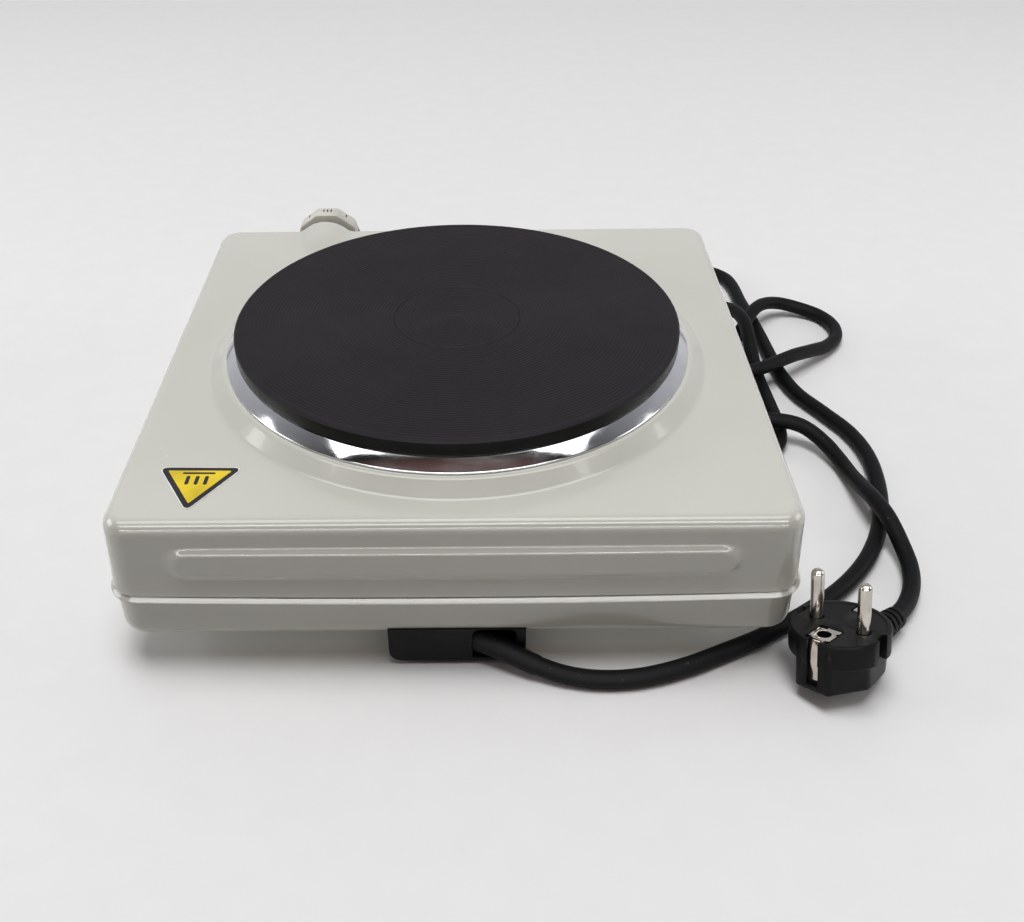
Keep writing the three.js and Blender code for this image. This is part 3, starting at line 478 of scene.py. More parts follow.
def iron_top():
    """Matt heat-proof coating with fine turning marks round the centre."""
    m = Nodes("plate coating", Roughness=0.5, Specular_IOR_Level=0.16)
    x, y = m.separate(m.place, 0), m.math("SUBTRACT", m.separate(m.place, 1), PLATE_Y * MM)
    radius = m.math("SQRT", m.math("ADD", m.math("MULTIPLY", x, x), m.math("MULTIPLY", y, y)))
    pitch = 0.5 * MM
    marks = m.math("SINE", m.math("MULTIPLY", radius, 2 * math.pi / pitch))
    patches = m.ramp(m.noise(30, 4), [(0.3, srgb(29, 25, 30)), (0.72, srgb(35, 31, 35))])
    grains = m.ramp(m.noise(1500, 2), [(0.35, srgb(22, 19, 23)), (0.65, srgb(43, 39, 43))])
    m.link(m.mix(0.3, patches, grains), "Base Color")
    m.link(m.span(m.noise(70, 4), 0.46, 0.62), "Roughness")
    fine = m.bump(marks, 0.000006)
    m.link(m.bump(m.noise(2200, 2), 0.00003, under=fine), "Normal")
    return m.material


def chrome():
    """Pressed bright steel, a little wavy, with faint smears."""
    m = Nodes("chromed trim", Metallic=1.0)
    clouds = [(0.3, srgb(214, 216, 220)), (0.7, srgb(234, 235, 238))]
    m.link(m.ramp(m.noise(40, 3), clouds), "Base Color")
    smears = m.noise(55, 4, stretch=(1, 1, 5))
    m.link(m.span(smears, 0.05, 0.16, 0.4, 0.75), "Roughness")
    fine = m.bump(m.noise(900, 2), 0.000006)
    m.link(m.bump(m.noise(35, 2), 0.0004, under=fine), "Normal")
    return m.material


def cord_rubber():
    """Matt sheath with a fine grain, faint unevenness and specks of dust."""
    m = Nodes("cord rubber", Roughness=0.42, Specular_IOR_Level=0.15)
    clouds = m.ramp(m.noise(45, 4), [(0.3, srgb(7, 8, 9)), (0.7, srgb(14, 15, 17))])
    dust = m.math("GREATER_THAN", m.noise(700, 1), 0.74)
    m.link(m.mix(m.math("MULTIPLY", dust, 0.35), clouds, srgb(90, 90, 88)), "Base Color")
    m.link(m.span(m.noise(90, 3), 0.45, 0.62), "Roughness")
    fine = m.bump(m.noise(1600, 2), 0.00002)
    m.link(m.bump(m.noise(220, 3), 0.00006, under=fine), "Normal")
    return m.material


def moulded(name, colour, rough, grain=1400, relief=0.00003, gloss=0.45):
    """Moulded plastic: a fine grain, slight clouds and uneven gloss."""
    m = Nodes(name, Roughness=rough, Specular_IOR_Level=gloss)
    dark = tuple(0.82 * c for c in colour[:3]) + (1,)
    pale = tuple(min(1, 1.2 * c + 0.004) for c in colour[:3]) + (1,)
    m.link(m.ramp(m.noise(80, 4), [(0.28, dark), (0.5, colour), (0.8, pale)]), "Base Color")
    m.link(m.span(m.noise(120, 3), rough * 0.8, rough * 1.2), "Roughness")
    fine = m.bump(m.noise(grain, 2), relief)
    m.link(m.bump(m.noise(60, 2), 0.00008, under=fine), "Normal")
    return m.material


def plated(name, colour, rough):
    """Plated metal with fine level streaks and small stains."""
    m = Nodes(name, Metallic=1.0)
    streak = (1, 1, 8)
    dark = tuple(0.7 * c for c in colour[:3]) + (1,)
    m.link(m.ramp(m.noise(150, 4), [(0.25, dark), (0.55, colour)]), "Base Color")
    m.link(m.span(m.noise(300, 3, stretch=streak), rough * 0.7, rough * 1.4), "Roughness")
    m.link(m.bump(m.noise(500, 3, stretch=streak), 0.00001), "Normal")
    return m.material


def ceramic():
    """Unglazed white ceramic with a coarse grain."""
    m = Nodes("ceramic", Roughness=0.85)
    clouds = [(0.3, srgb(205, 197, 180)), (0.7, srgb(232, 226, 212))]
    m.link(m.ramp(m.noise(110, 4), clouds), "Base Color")
    m.link(m.span(m.noise(200, 2), 0.75, 0.92), "Roughness")
    m.link(m.bump(m.noise(700, 4), 0.00008), "Normal")
    return m.material


def heater_sheath():
    """Steel sheath with the blue and brown colours of heat."""
    m = Nodes("heater sheath", Metallic=0.8)
    stops = [(0.25, srgb(62, 58, 66)), (0.5, srgb(112, 92, 74)), (0.75, srgb(70, 74, 92))]
    m.link(m.ramp(m.noise(35, 3), stops), "Base Color")
    m.link(m.span(m.noise(150, 3), 0.35, 0.6), "Roughness")
    m.link(m.bump(m.noise(900, 2), 0.00003), "Normal")
    return m.material


def floor_paper():
    """Matt white paper with the faintest clouds."""
    m = Nodes("floor paper")
    white = srgb(236, 236, 236)
    stops = [(place, tuple(c * share for c in white[:3]) + (1,))
             for place, share in ((0.3, 0.99), (0.7, 1.01))]
    m.link(m.ramp(m.noise(60, 4), stops), "Base Color")
    m.link(m.span(m.noise(150, 3), 0.68, 0.92), "Roughness")
    m.link(m.bump(m.noise(900, 2), 0.00001), "Normal")
    return m.material


ENAMEL = enamel()
IRON = iron_top()
IRON_SIDE = moulded("plate side", srgb(6, 6, 7), 0.25, grain=700, relief=0.00003, gloss=0.14)
CHROME = chrome()
RUBBER = cord_rubber()
FOOT_RUBBER = moulded("foot rubber", srgb(20, 20, 21), 0.75, grain=900, relief=0.00006)
BLACK = moulded("black plastic", srgb(9, 9, 10), 0.4, gloss=0.15)
KNOB_CREAM = moulded("knob plastic", srgb(208, 206, 196), 0.42, grain=900, relief=0.00002)
DARK_PRINT = moulded("dark print", srgb(44, 42, 42), 0.5)
LABEL_WHITE = moulded("label film", srgb(232, 232, 226), 0.35, relief=0.00001)
LABEL_BLACK = moulded("label print", srgb(26, 24, 28), 0.35, relief=0.00001)
LABEL_YELLOW = moulded("label colour", srgb(233, 204, 30), 0.32, relief=0.00001)
NICKEL = plated("nickel plate", srgb(206, 200, 190), 0.14)
ZINC = plated("zinc plate", srgb(178, 180, 180), 0.34)
CERAMIC = ceramic()
HEATER = heater_sheath()
BROWN_WIRE = moulded("brown sleeve", srgb(112, 62, 38), 0.5)
BLUE_WIRE = moulded("blue sleeve", srgb(44, 84, 150), 0.5)
GREEN_WIRE = moulded("green sleeve", srgb(92, 140, 52), 0.5)

# ------------------------------------------------------------------ cord, before the rest
cord, cord_length = add_cord(RUBBER)
stand_for(cord, "appliance", "black_rubber", "cord_lead", "cord_hank", "cord_loop", "cord_plug_run")


# ------------------------------------------------------------------ casing
SIDE_STEPS, CORNER_STEPS = 110, 16


def housing_outline(inset, corner_steps=CORNER_STEPS, side_steps=SIDE_STEPS, bow=0.0):
    """The casing seen from above, as far inside the top fold's outline as inset says.

    The middle of each side bows out by as much as bow says.
    """
    outline = np.array(rounded_outline(
        HOUSING_W - 2 * inset, HOUSING_D - 2 * inset, max(CORNER_R - inset, 1),
        corner_steps, side_steps,
    ))
    half = np.array([HOUSING_W / 2 - inset, HOUSING_D / 2 - inset])
    on_side = abs(outline) > half - 0.01
    along = outline[:, ::-1] / (half[::-1] - CORNER_R)
    outline += np.where(on_side, np.sign(outline) * bow * np.clip(1 - along**2, 0, 1), 0)
    return outline + (0, CENTRE_Y)


# how far the walls lean out at the skirt, and how much more in the middle of each side
FLARE = 1.4
BOW = 1.5
WALL_TOP_Z = TOP_Z - FOLD_DROP
RIB_HALF_LENGTH = 101.5
RIB_HALF_HEIGHT = 6.75
RIB_MIDDLE_Z = 50.5
RIB_PROUD = 1.6


def rib_height(x, z):
    """How far the rear rib stands out at a point of the wall."""
    straight = RIB_HALF_LENGTH - RIB_HALF_HEIGHT
    along = np.clip(x, -straight, straight)
    above = z - RIB_MIDDLE_Z
    distance = RIB_HALF_HEIGHT - np.hypot(x - along, above)
    slope = 2.4 - 0.1 * np.clip(above / RIB_HALF_HEIGHT, -1, 1)
    share = np.clip(distance / slope, -0.2, 1.2)
    rounding = 0.12
    foot = np.clip(share + rounding, 0, None) ** 2 / (4 * rounding)
    shoulder = 1 - np.clip(1 + rounding - share, 0, None) ** 2 / (4 * rounding)
    low = np.where(share < rounding, foot, share)
    return RIB_PROUD * np.where(share > 1 - rounding, shoulder, low)


def boss_top(x, y):
    """Height of the top surface where the bulge over the shaft rises from it."""
    straight, fade, blend = 10, 27, 1.3
    behind = np.clip(FRONT_Y - straight - y, 0, fade + 0.5)
    radius = BOSS_R * np.sqrt(1 - 0.8 * (behind / fade) ** 2)
    bulge = KNOB_Z + np.sqrt(np.clip(radius**2 - (x - KNOB_X) ** 2, 0, None))
    return (TOP_Z + bulge + np.sqrt((TOP_Z - bulge) ** 2 + blend**2)) / 2 - 0.04


def level_ring(outline, z):
    return np.column_stack([outline, np.full(len(outline), z)])


def casing_rings():
    """The casing's outside in rings: up the walls, round the fold, and in to the plate's hole."""
    rings = []
    lip_height, wall_steps, fold_steps, flat_steps = 2.5, 46, 14, 26
    for z in np.linspace(SKIRT_Z, WALL_TOP_Z, wall_steps):
        share = (WALL_TOP_Z - z) / (WALL_TOP_Z - SKIRT_Z)
        turned_out = 0.3 * max(0, (SKIRT_Z + lip_height - z) / lip_height) ** 2
        rings.append(level_ring(housing_outline(-FLARE * share - turned_out, bow=BOW * share), z))
    for i in range(1, fold_steps + 1):
        angle = math.radians(90 * i / fold_steps)
        outline = housing_outline(FOLD_R * (1 - math.cos(angle)))
        rings.append(level_ring(outline, WALL_TOP_Z + FOLD_DROP * math.sin(angle)))
    edge = rings[-1][:, :2]
    angles = np.arctan2(edge[:, 1] - PLATE_Y, edge[:, 0])
    circle = np.column_stack([np.cos(angles), np.sin(angles)])
    plateau_r = 108.5
    for i in range(1, flat_steps + 1):
        share = i / flat_steps
        goal = circle * plateau_r + (0, PLATE_Y)
        rings.append(level_ring(edge * (1 - share) + goal * share, TOP_Z))
    profile = soften(
        [(plateau_r, TOP_Z), (104.6, TOP_Z), (98.2, PLATEAU_Z), (90.3, PLATEAU_Z), (88.5, 71.6),
         (88.5, 68.6)],
        [0, 4.0, 3.2, 1.5, 1.0, 0], steps=6,
    )
    rings += [level_ring(circle * radius + (0, PLATE_Y), z) for radius, z in profile[1:]]
    return rings


def add_casing():
    rings = casing_rings()
    points = np.concatenate(rings)
    x, y, z = points.T
    on_rear_wall = (y < REAR_Y + 0.02) & (z < WALL_TOP_Z + 0.01)
    y[on_rear_wall] -= rib_height(x[on_rear_wall], z[on_rear_wall])
    near_boss = (abs(x - KNOB_X) < 2 * BOSS_R) & (y > FRONT_Y - 42) & (y < FRONT_Y + 6)
    rise = boss_top(x[near_boss], np.minimum(y[near_boss], FRONT_Y)) - TOP_Z
    low_z = 48
    share = np.clip((z[near_boss] - low_z) / (WALL_TOP_Z - low_z), 0, 1)
    z[near_boss] += rise * share * share * (3 - 2 * share)
    count = len(rings[0])
    shaped = [points[i * count:(i + 1) * count].tolist() for i in range(len(rings))]
    points, faces = skin(shaped, closed_end=False, closed_start=False)
    casing = mesh_object("casing", points, faces, ENAMEL, 50)
    modifier = casing.modifiers.new("sheet", "SOLIDIFY")
    modifier.thickness = 1.1 * MM
    modifier.offset = -1
    apply_modifiers(casing, 50)
    hole_r, inner, outer = 5.4, FRONT_Y - 8, FRONT_Y + 8
    hole = lathe_y("cut", [(0, inner), (hole_r, inner), (hole_r, outer), (0, outer)],
                   ENAMEL, 48, place=(KNOB_X, KNOB_Z))
    boolean(casing, [hole])
    stand_for(casing, "appliance", "cream_enamel", "top_shell")


# ------------------------------------------------------------------ base pan
def joined(name, parts):
    """One object from several, which are removed."""
    work = bmesh.new()
    for part in parts:
        part.data.transform(part.matrix_world)
        work.from_mesh(part.data)
    mesh = bpy.data.meshes.new(name)
    work.to_mesh(mesh)
    work.free()
    materials = list(parts[0].data.materials)
    for part in parts:
        bpy.data.objects.remove(part)
    return finish_mesh(name, mesh, materials)


def pan_cutters():
    """What is cut out of the pan's floor: cooling slots, the wires' opening and screw holes."""
    cutters = []
    low, high = 8, 26
    slot_length, slot_width, pitch = 46, 4, 11
    for side in (-1, 1):
        for i in range(-2, 3):
            outline = rounded_outline(slot_length, slot_width, slot_width / 2 - 0.01, 8)
            outline = [(x + side * 62, y + CENTRE_Y + i * pitch) for x, y in outline]
            cutters.append(prism("cut", outline, low, high, ENAMEL))
    opening = [(x, y - 103) for x, y in rounded_outline(28, 16, 2)]
    cutters.append(prism("cut", opening, low, high, ENAMEL))
    holes = [(sx * x, CENTRE_Y + sy * y, r) for sx in (-1, 1) for sy in (-1, 1)
             for x, y, r in ((102, 101, 2.2), (FOOT_X, FOOT_Y, 4.4))]
    holes += [(-20, -95.5, 1.9), (20, -95.5, 1.9), (34, -106, 1.9)]
    for x, y, radius in holes:
        profile = [(0, low), (radius, low), (radius, high), (0, high)]
        cutters.append(lathe("cut", profile, ENAMEL, 32, place=(x, y)))
    return joined("cutters", cutters)


def add_pan():
    # how far inside the housing's outline, so these stand outside it
    wall, lip = -0.8, -2.7
    sheet, lip_top = 1.2, 35.4
    profile = soften(
        [(10, FLOOR_Z), (wall, FLOOR_Z), (wall, 32.8), (lip + 0.5, 33.3), (lip, 33.5), (lip, 33.9),
         (lip + 1.6, lip_top), (wall + 1.1, lip_top), (wall + 1.1, FLOOR_Z + sheet),
         (10, FLOOR_Z + sheet)],
        [0, 5.2, 0.8, 0.2, 0.2, 0.3, 0.6, 0.6, 4, 0], steps=6,
    )
    bow_from, lip_from = 30, 33.2
    rings = []
    for inset, z in profile:
        bow = 0.0 if z < bow_from else 1.6 if z < lip_from else 2.0
        outline = housing_outline(inset, 12, 24, bow=bow)
        rings.append([(x, y, z) for x, y in outline])
    pan = mesh_object("pan", *skin(rings), ENAMEL, 40)
    boolean(pan, [pan_cutters()])
    stand_for(pan, "appliance", "cream_enamel", "base_pan")


# ------------------------------------------------------------------ plate and its ring
def add_trim_ring():
    corners = [
        (96.7, 72.9), (96.7, 73.5), (91.9, 77.3), (86.6, 77.3), (86.2, 76.6), (86.2, 70.5),
        (87, 70.5), (87, 76.4), (91.5, 76.4), (95.7, 72.9),
    ]
    profile = soften(corners, [0.1, 0.5, 1.3, 0.8, 0.4, 0.3, 0.3, 0.5, 1, 0.1], 5, closed=True)
    ring = lathe("trim", profile, CHROME, 256, closed=True, place=(0, PLATE_Y), sharp=45)
    stand_for(ring, "appliance", "chrome_trim", "trim_ring")


def plate_profile():
    """From the middle of the cooking face, with its grooves, round the rim to the underside."""
    pitch, half_width, last = 1.5, 0.35, 90
    shallow, deep, deep_at = 0.12, 0.25, 26.6
    profile = [(0, PLATE_TOP_Z)]
    groove = 2.0
    while groove < last:
        depth = deep if abs(groove + half_width - deep_at) < pitch / 2 else shallow
        profile += [
            (groove, PLATE_TOP_Z), (groove + half_width, PLATE_TOP_Z - depth),
            (groove + 2 * half_width, PLATE_TOP_Z),
        ]
        groove += pitch
    rim = soften(
        [(91.0, PLATE_TOP_Z), (91.75, PLATE_TOP_Z), (PLATE_R, 83.2), (PLATE_R, 77.9), (92, 77.5),
         (85.5, 77.5), (85.5, 70), (82.5, 70), (82, 76), (29.5, 76), (28, 70), (4.3, 70),
         (4.3, 76.8), (0, 76.8)],
        [0, 0.4, 0.4, 0.4, 0.3, 0.5, 0.8, 0.8, 1.5, 1.5, 0.8, 0.5, 0.3, 0], steps=3,
    )
    return profile + rim


def add_plate():
    plate = lathe("plate", plate_profile(), [IRON, IRON_SIDE], 224, place=(0, PLATE_Y), sharp=25)
    coated_from = PLATE_TOP_Z - 0.9
    for face in plate.data.polygons:
        if face.center.z < coated_from * MM:
            face.material_index = 1
    stand_for(plate, "appliance", "cast_iron", "hot_plate")


# ------------------------------------------------------------------ label
def on_label(points):
    """Puts points of the label's own drawing, whose rear corner is at -Y, on the casing's top."""
    middle, turn = (-93.4, -101.6), math.radians(-1.2)
    c, s = math.cos(turn), math.sin(turn)
    return [(middle[0] + x * c - y * s, middle[1] + x * s + y * c) for x, y in points]


def label_outline(side, corner):
    """A triangle with one corner to the rear and rounded corners."""
    tall = 0.83 * side
    corners = [(-side / 2, tall / 3), (0, -2 * tall / 3), (side / 2, tall / 3)]
    return soften(corners, corner, 6, closed=True)


def add_label():
    layers = [("label_film", 32, 2.4, LABEL_WHITE), ("label_border", 30.4, 2.0, LABEL_BLACK),
              ("label_field", 23.6, 0.5, LABEL_YELLOW)]
    pieces = []
    low, thick, step = TOP_Z + 0.02, 0.14, 0.06
    for i, (name, side, corner, material) in enumerate(layers):
        outline = on_label(label_outline(side, corner))
        pieces.append(prism(name, outline, low, low + thick + i * step, material))
    top = low + thick + len(layers) * step
    bars = [(0, 4.9, 12.0, 1.0)] + [(x, 0.6, 1.4, 5.2) for x in (-3.4, 0, 3.4)]
    for i, (x, y, wide, tall) in enumerate(bars):
        outline = rounded_outline(wide, tall, min(wide, tall) / 2 - 0.02, 6)
        outline = on_label([(a + x, b + y) for a, b in outline])
        pieces.append(prism(f"label_bar_{i}", outline, low, top, LABEL_BLACK))
    for piece in pieces:
        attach(piece, "appliance")
    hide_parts("rear_label")


# ------------------------------------------------------------------ knob
def decagon_radius(angle, radius):
    """Distance from the middle to the edge of a ten-sided outline with blunted corners."""
    sector, blunting = 2 * math.pi / 10, 0.22
    apothem = radius * math.cos(sector / 2)
    return min(apothem / math.cos((angle % sector) - sector / 2), radius - blunting)


def add_knob():
    """A ten-sided cap, hollow at its back, round the hub that takes the shaft."""
    count = 200
    angles = [2 * math.pi * i / count for i in range(count)]
    back, face = KNOB_REAR_Y, KNOB_FACE_Y

    def ring(y, radius, ten_sided):
        points = []
        for angle in angles:
            # angle 0 is a corner, so a quarter turn from it a flat faces up
            r = decagon_radius(angle, radius) if ten_sided else radius
            points.append((KNOB_X + r * math.cos(angle), y, KNOB_Z + r * math.sin(angle)))
        return points

    inner_r, hub_r, bore_r, bore_end = 12.9, 6, 3.3, 128.4
    outside = soften(
        [(inner_r, back), (KNOB_R - 0.2, back), (KNOB_R, back + 2.6), (KNOB_R - 0.3, face - 3.4),
         (KNOB_R - 2.6, face - 0.1), (KNOB_R - 6, face)],
        [0, 0.5, 0.8, 1.2, 1.2, 0], steps=4,
    )
    inside = [(inner_r, face - 4), (hub_r, face - 4), (hub_r, back + 0.4), (hub_r - 0.4, back),
              (bore_r, back), (bore_r, bore_end)]
    rings = [ring(y, r, False) for r, y in reversed(inside)]
    ten_sided_from = 13
    rings += [ring(y, r, r > ten_sided_from) for r, y in outside]
    knob = mesh_object("knob_cap", *skin(rings), KNOB_CREAM, 30)
    stand_for(knob, "knob", "cream_plastic", "knob")
    add_knob_marks()


def add_knob_marks():
    """A scale of plain ticks on the flats, and a line on the face."""
    marks = []
    apothem = KNOB_R * math.cos(math.pi / 10)
    middle = Matrix.Translation((KNOB_X * MM, 0, KNOB_Z * MM))
    pitch, half_width = 1.9, 0.35
    across, up = (123.6, 126.2), (apothem - 1.2, apothem + 0.03)
    for k in range(10):
        ticks = 3 if k == 0 else 1
        for i in range(ticks):
            x = (i - (ticks - 1) / 2) * pitch
            tick = block("tick", (x - half_width, x + half_width), across, up, DARK_PRINT)
            tick.data.transform(middle @ Matrix.Rotation(math.radians(36 * k), 4, "Y"))
            marks.append(tick)
    line = block("line", (-0.5, 0.5), (KNOB_FACE_Y - 1, KNOB_FACE_Y + 0.04), (3, 9.4), DARK_PRINT)
    line.data.transform(middle)
    marks.append(line)
    marks = joined("knob_marks", marks)
    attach(marks, "knob")


# ------------------------------------------------------------------ feet and terminal box
def add_feet():
    profile = soften(
        [(0, 0), (10.2, 0), (11, 1.2), (12.5, 14.7), (4, 14.7), (4, 16.5), (5.2, 16.6),
         (3.4, 20.5), (0, 20.5)],
        [0, 0.7, 1.0, 1.0, 0.3, 0.2, 0.8, 0.8, 0], steps=4,
    )
    for side, sx in (("left", -1), ("right", 1)):
        for end, sy in (("rear", -1), ("front", 1)):
            node = f"foot_{end}_{side}"
            place = (FOOT_X * sx, CENTRE_Y + FOOT_Y * sy)
            foot = lathe(f"rubber_{node}", profile, FOOT_RUBBER, 64, place=place)
            stand_for(foot, "appliance", "black_rubber", node)


def add_terminal_box():
    """A box with a pocket at its rear corner, where the cord comes out through a slanted hole."""
    bottom, top, floor, rear, front = 2, 18, 3.2, -128.2, -88
    corners = [(-25.2, bottom), (26, bottom), (26, top), (-25.2, top)]
    outline = soften(corners, [5.5, 5.5, 0, 0], 8, closed=True)
    rings = [[(x, y, z) for x, z in outline] for y in (rear, front)]
    box = mesh_object("terminal_cover", *skin(rings), BLACK)
    inner = [(-23.4, -89.2), (-23.4, -127), (4.8, -127), (4.8, -110.8), (24.8, -110.8),
             (24.8, -89.2)]
    hollow = bevelled(prism("cut", inner, floor, 40, BLACK), 1.2, 3, 40)
    arch = soften([(6, floor), (22.5, floor), (22.5, 17.7), (6, 17.7)], [1, 1.5, 3.6, 3.6], 8,
                  closed=True)
    rings = [[(x, y, z) for x, z in arch] for y in (-140, -112)]
    pocket = mesh_object("cut", *skin(rings), BLACK)
    heading = Vector((20, -9, 0)).normalized()
    hole_r, reach = 4.85, 8
    profile = [(0, -reach), (hole_r, -reach), (hole_r, reach), (0, reach)]
    hole = lathe("cut", profile, BLACK, 48)
    place = Matrix.Translation(Vector((5, -122.6, 8.6)) * MM)
    hole.data.transform(place @ heading.to_track_quat("Z", "Y").to_matrix().to_4x4())
    edge = arc((-122.6, 20.2), 5.5, -90, -180, 10)
    under_pan = [(-80, 14.7), *edge, (-128.1, 30), (-80, 30)]
    rings = [[(x, y, z) for y, z in under_pan] for x in (-40, 40)]
    pan = mesh_object("cut", *skin(rings), BLACK)
    boolean(box, [hollow, pocket, hole, pan])
    bevelled(box, 0.35, 2, 50)
    towers = []
    for x, y, radius, bore, height in ((-20, -95.5, 4.4, 1.9, 14.7), (20, -95.5, 4.4, 1.9, 14.7),
                                       (-4, -111.8, 2.4, 1.2, 12.1), (-9, -123, 2.4, 1.2, 12.1)):
        foot = floor - 0.5
        ring = [(bore, foot), (radius, foot), (radius, height), (bore, height)]
        towers.append(lathe("tower", ring, BLACK, 40, closed=True, place=(x, y)))
    posts = joined("terminal_cover_posts", towers)
    for piece in (box, posts):
        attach(piece, "appliance")
    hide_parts("terminal_box")


def add_bushing():
    """A smooth sleeve that tapers along the cord from the terminal box."""
    line = catmull_rom(CORD_ROUTE[:8], 0.8)
    start, end, tip = 12, 50, 3
    places, radii = [], []
    travelled = 0
    for a, b in zip(line, line[1:]):
        if start <= travelled <= end:
            radius = 4.6 - 0.75 * (travelled - start) / (end - start)
            if travelled > end - tip:
                radius -= 0.3 * ((travelled - end + tip) / tip) ** 2
            places.append(a)
            radii.append(radius)
        travelled += (b - a).length
    sleeve = curve_object("cord_sleeve", places, radii, 1, 8, RUBBER)
    stand_for(sleeve, "appliance", "black_rubber", "cord_bushing")


# ------------------------------------------------------------------ plug
PLUG_DEPTH = 20.6
PLUG_R = 18
PIN_R = 2.4
PIN_X = 9.5
RELIEF_DROP = 14.2
RELIEF_END = 40
PLUG_PLACE = (
    Matrix.Translation(Vector((139.2, -132.5, 24)) * MM)
    @ Matrix.Rotation(math.radians(-48.6), 4, "Z")
    @ Matrix.Rotation(math.radians(-7.4), 4, "X")
    @ Matrix.Rotation(math.radians(-14.4), 4, "Y")
)


def in_plug(obj, slot, *nodes):
    """Takes a piece from the plug's own axes, with the pins along +Z, to where the plug lies."""
    obj.data.transform(PLUG_PLACE)
    stand_for(obj, "appliance", slot, *nodes)


def add_plug_body():
    """A round face on a grip that narrows, with grooves and holes for the contacts and pins."""
    half = [(6.6, -17.4), (14.8, -4), (13.6, 9), (9.2, 18)]
    outline = half + [(-x, y) for x, y in reversed(half)]
    grip = prism("grip", outline, -PLUG_DEPTH, -4, BLACK)
    under = block("cut", (-30, 30), (-10, 50), (-14, 0), BLACK)
    place = Matrix.Translation((0, 2 * MM, -PLUG_DEPTH * MM))
    under.data.transform(place @ Matrix.Rotation(0.1, 4, "X"))
    boolean(grip, [under])
    bevelled(grip, 1.3, 4, 20)
    rim = soften(
        [(0, -9.6), (PLUG_R, -9.6), (PLUG_R, 0), (PLUG_R - 1.6, 0), (PLUG_R - 2.0, -0.35),
         (0, -0.35)],
        [0, 0.7, 0.8, 0.2, 0.2, 0], steps=4,
    )
    disc = lathe("plug_housing", rim, BLACK, 144)
    boolean(disc, [grip], "UNION")
    cutters = [
        block("cut", (-2.3, 2.3), (-20, -15.4), (-18, 5), BLACK),
        block("cut", (-2.3, 2.3), (15.4, 20), (-9.7, 5), BLACK),
        block("cut", (-4.7, 4.7), (-15.5, -4.6), (-1.5, 5), BLACK),
        block("cut", (-2.6, 2.6), (11.2, 15.5), (-1.5, 5), BLACK),
        lathe("cut", [(0, -14), (2.7, -14), (2.7, 5), (0, 5)], BLACK, 48, place=(0, -10)),
    ]
    for side in (-1, 1):
        x = sorted((side * 15.2, side * 22))
        cutters.append(block("cut", x, (-2.6, 2.6), (-9.7, 5), BLACK))
        x = sorted((side * 17.2, side * 22))
        cutters.append(block("cut", x, (-9, 9), (-12, 5), BLACK))
        hole = [(0, -8), (2.75, -8), (2.75, 5), (0, 5)]
        cutters.append(lathe("cut", hole, BLACK, 48, place=(side * PIN_X, 0)))
    boolean(disc, cutters)
    bevelled(disc, 0.35, 2, 40)
    in_plug(disc, "black_plastic", "plug_body")


def add_pins():
    root, length, tip_length = -7.5, 19, 2.2
    angles = np.linspace(0, math.pi / 2, 10)[:-1]
    tip = [(PIN_R * math.cos(a), length - tip_length + tip_length * math.sin(a)) for a in angles]
    profile = [(0, root), (PIN_R, root), *tip, (0, length)]
    for side, name in ((-1, "left"), (1, "right")):
        pin = lathe(f"pin_{name}", profile, NICKEL, 48, place=(side * PIN_X, 0))
        in_plug(pin, "nickel", f"plug_pin_{name}")


def add_earth_contacts():
    """The near clip, which is a plate with the earth hole and a strip, and the far clip."""
    plate = [(-4.2, -13.6), (-2.6, -13.6), (-2.6, -14.6), (2.6, -14.6), (2.6, -13.6), (4.2, -13.6),
             (4.2, -8.4), (3.4, -8.4), (3.4, -7.2), (4.2, -7.2), (4.2, -5.2), (-1.2, -5.2),
             (-1.2, -6.4), (-4.2, -6.4)]
    low, high = -0.9, -0.25
    near = prism("plate", plate, low, high, NICKEL)
    hole = lathe("cut", [(0, -5), (2.55, -5), (2.55, 5), (0, 5)], NICKEL, 48, place=(0, -10))
    boolean(near, [hole])
    bevelled(near, 0.12, 2, 40)
    near = joined("earth_clip_near", [near, earth_strip(-1, -16.4)])
    in_plug(near, "nickel", "plug_earth_near")
    seat = prism("plate", [(-1.9, 11.8), (1.9, 11.8), (1.9, 16), (-1.9, 16)], low, high, NICKEL)
    far = joined("earth_clip_far", [bevelled(seat, 0.12, 2, 40), earth_strip(1, -9)])
    in_plug(far, "nickel", "plug_earth_far")


def earth_strip(side, low):
    """A strip folded to a shallow V that bows out of its groove a little."""
    steps, half_width, thick, fold = 14, 1.7, 0.5, 0.3
    high, seat, bow = -0.5, 15.7, 1.2
    rings = []
    for i in range(steps + 1):
        share = i / steps
        z = high + (low - high) * share
        bulge = math.sin(math.pi * min(1, 1.15 * share)) ** 0.8 * (1 - 0.25 * share)
        y = side * (seat + bow * bulge)
        edge, inner = y - side * fold, side * thick
        rings.append([
            (-half_width, edge, z), (0, y, z), (half_width, edge, z),
            (half_width, edge - inner, z), (0, y - inner, z), (-half_width, edge - inner, z),
        ])
    return mesh_object("strip", *skin(rings), NICKEL, 20)


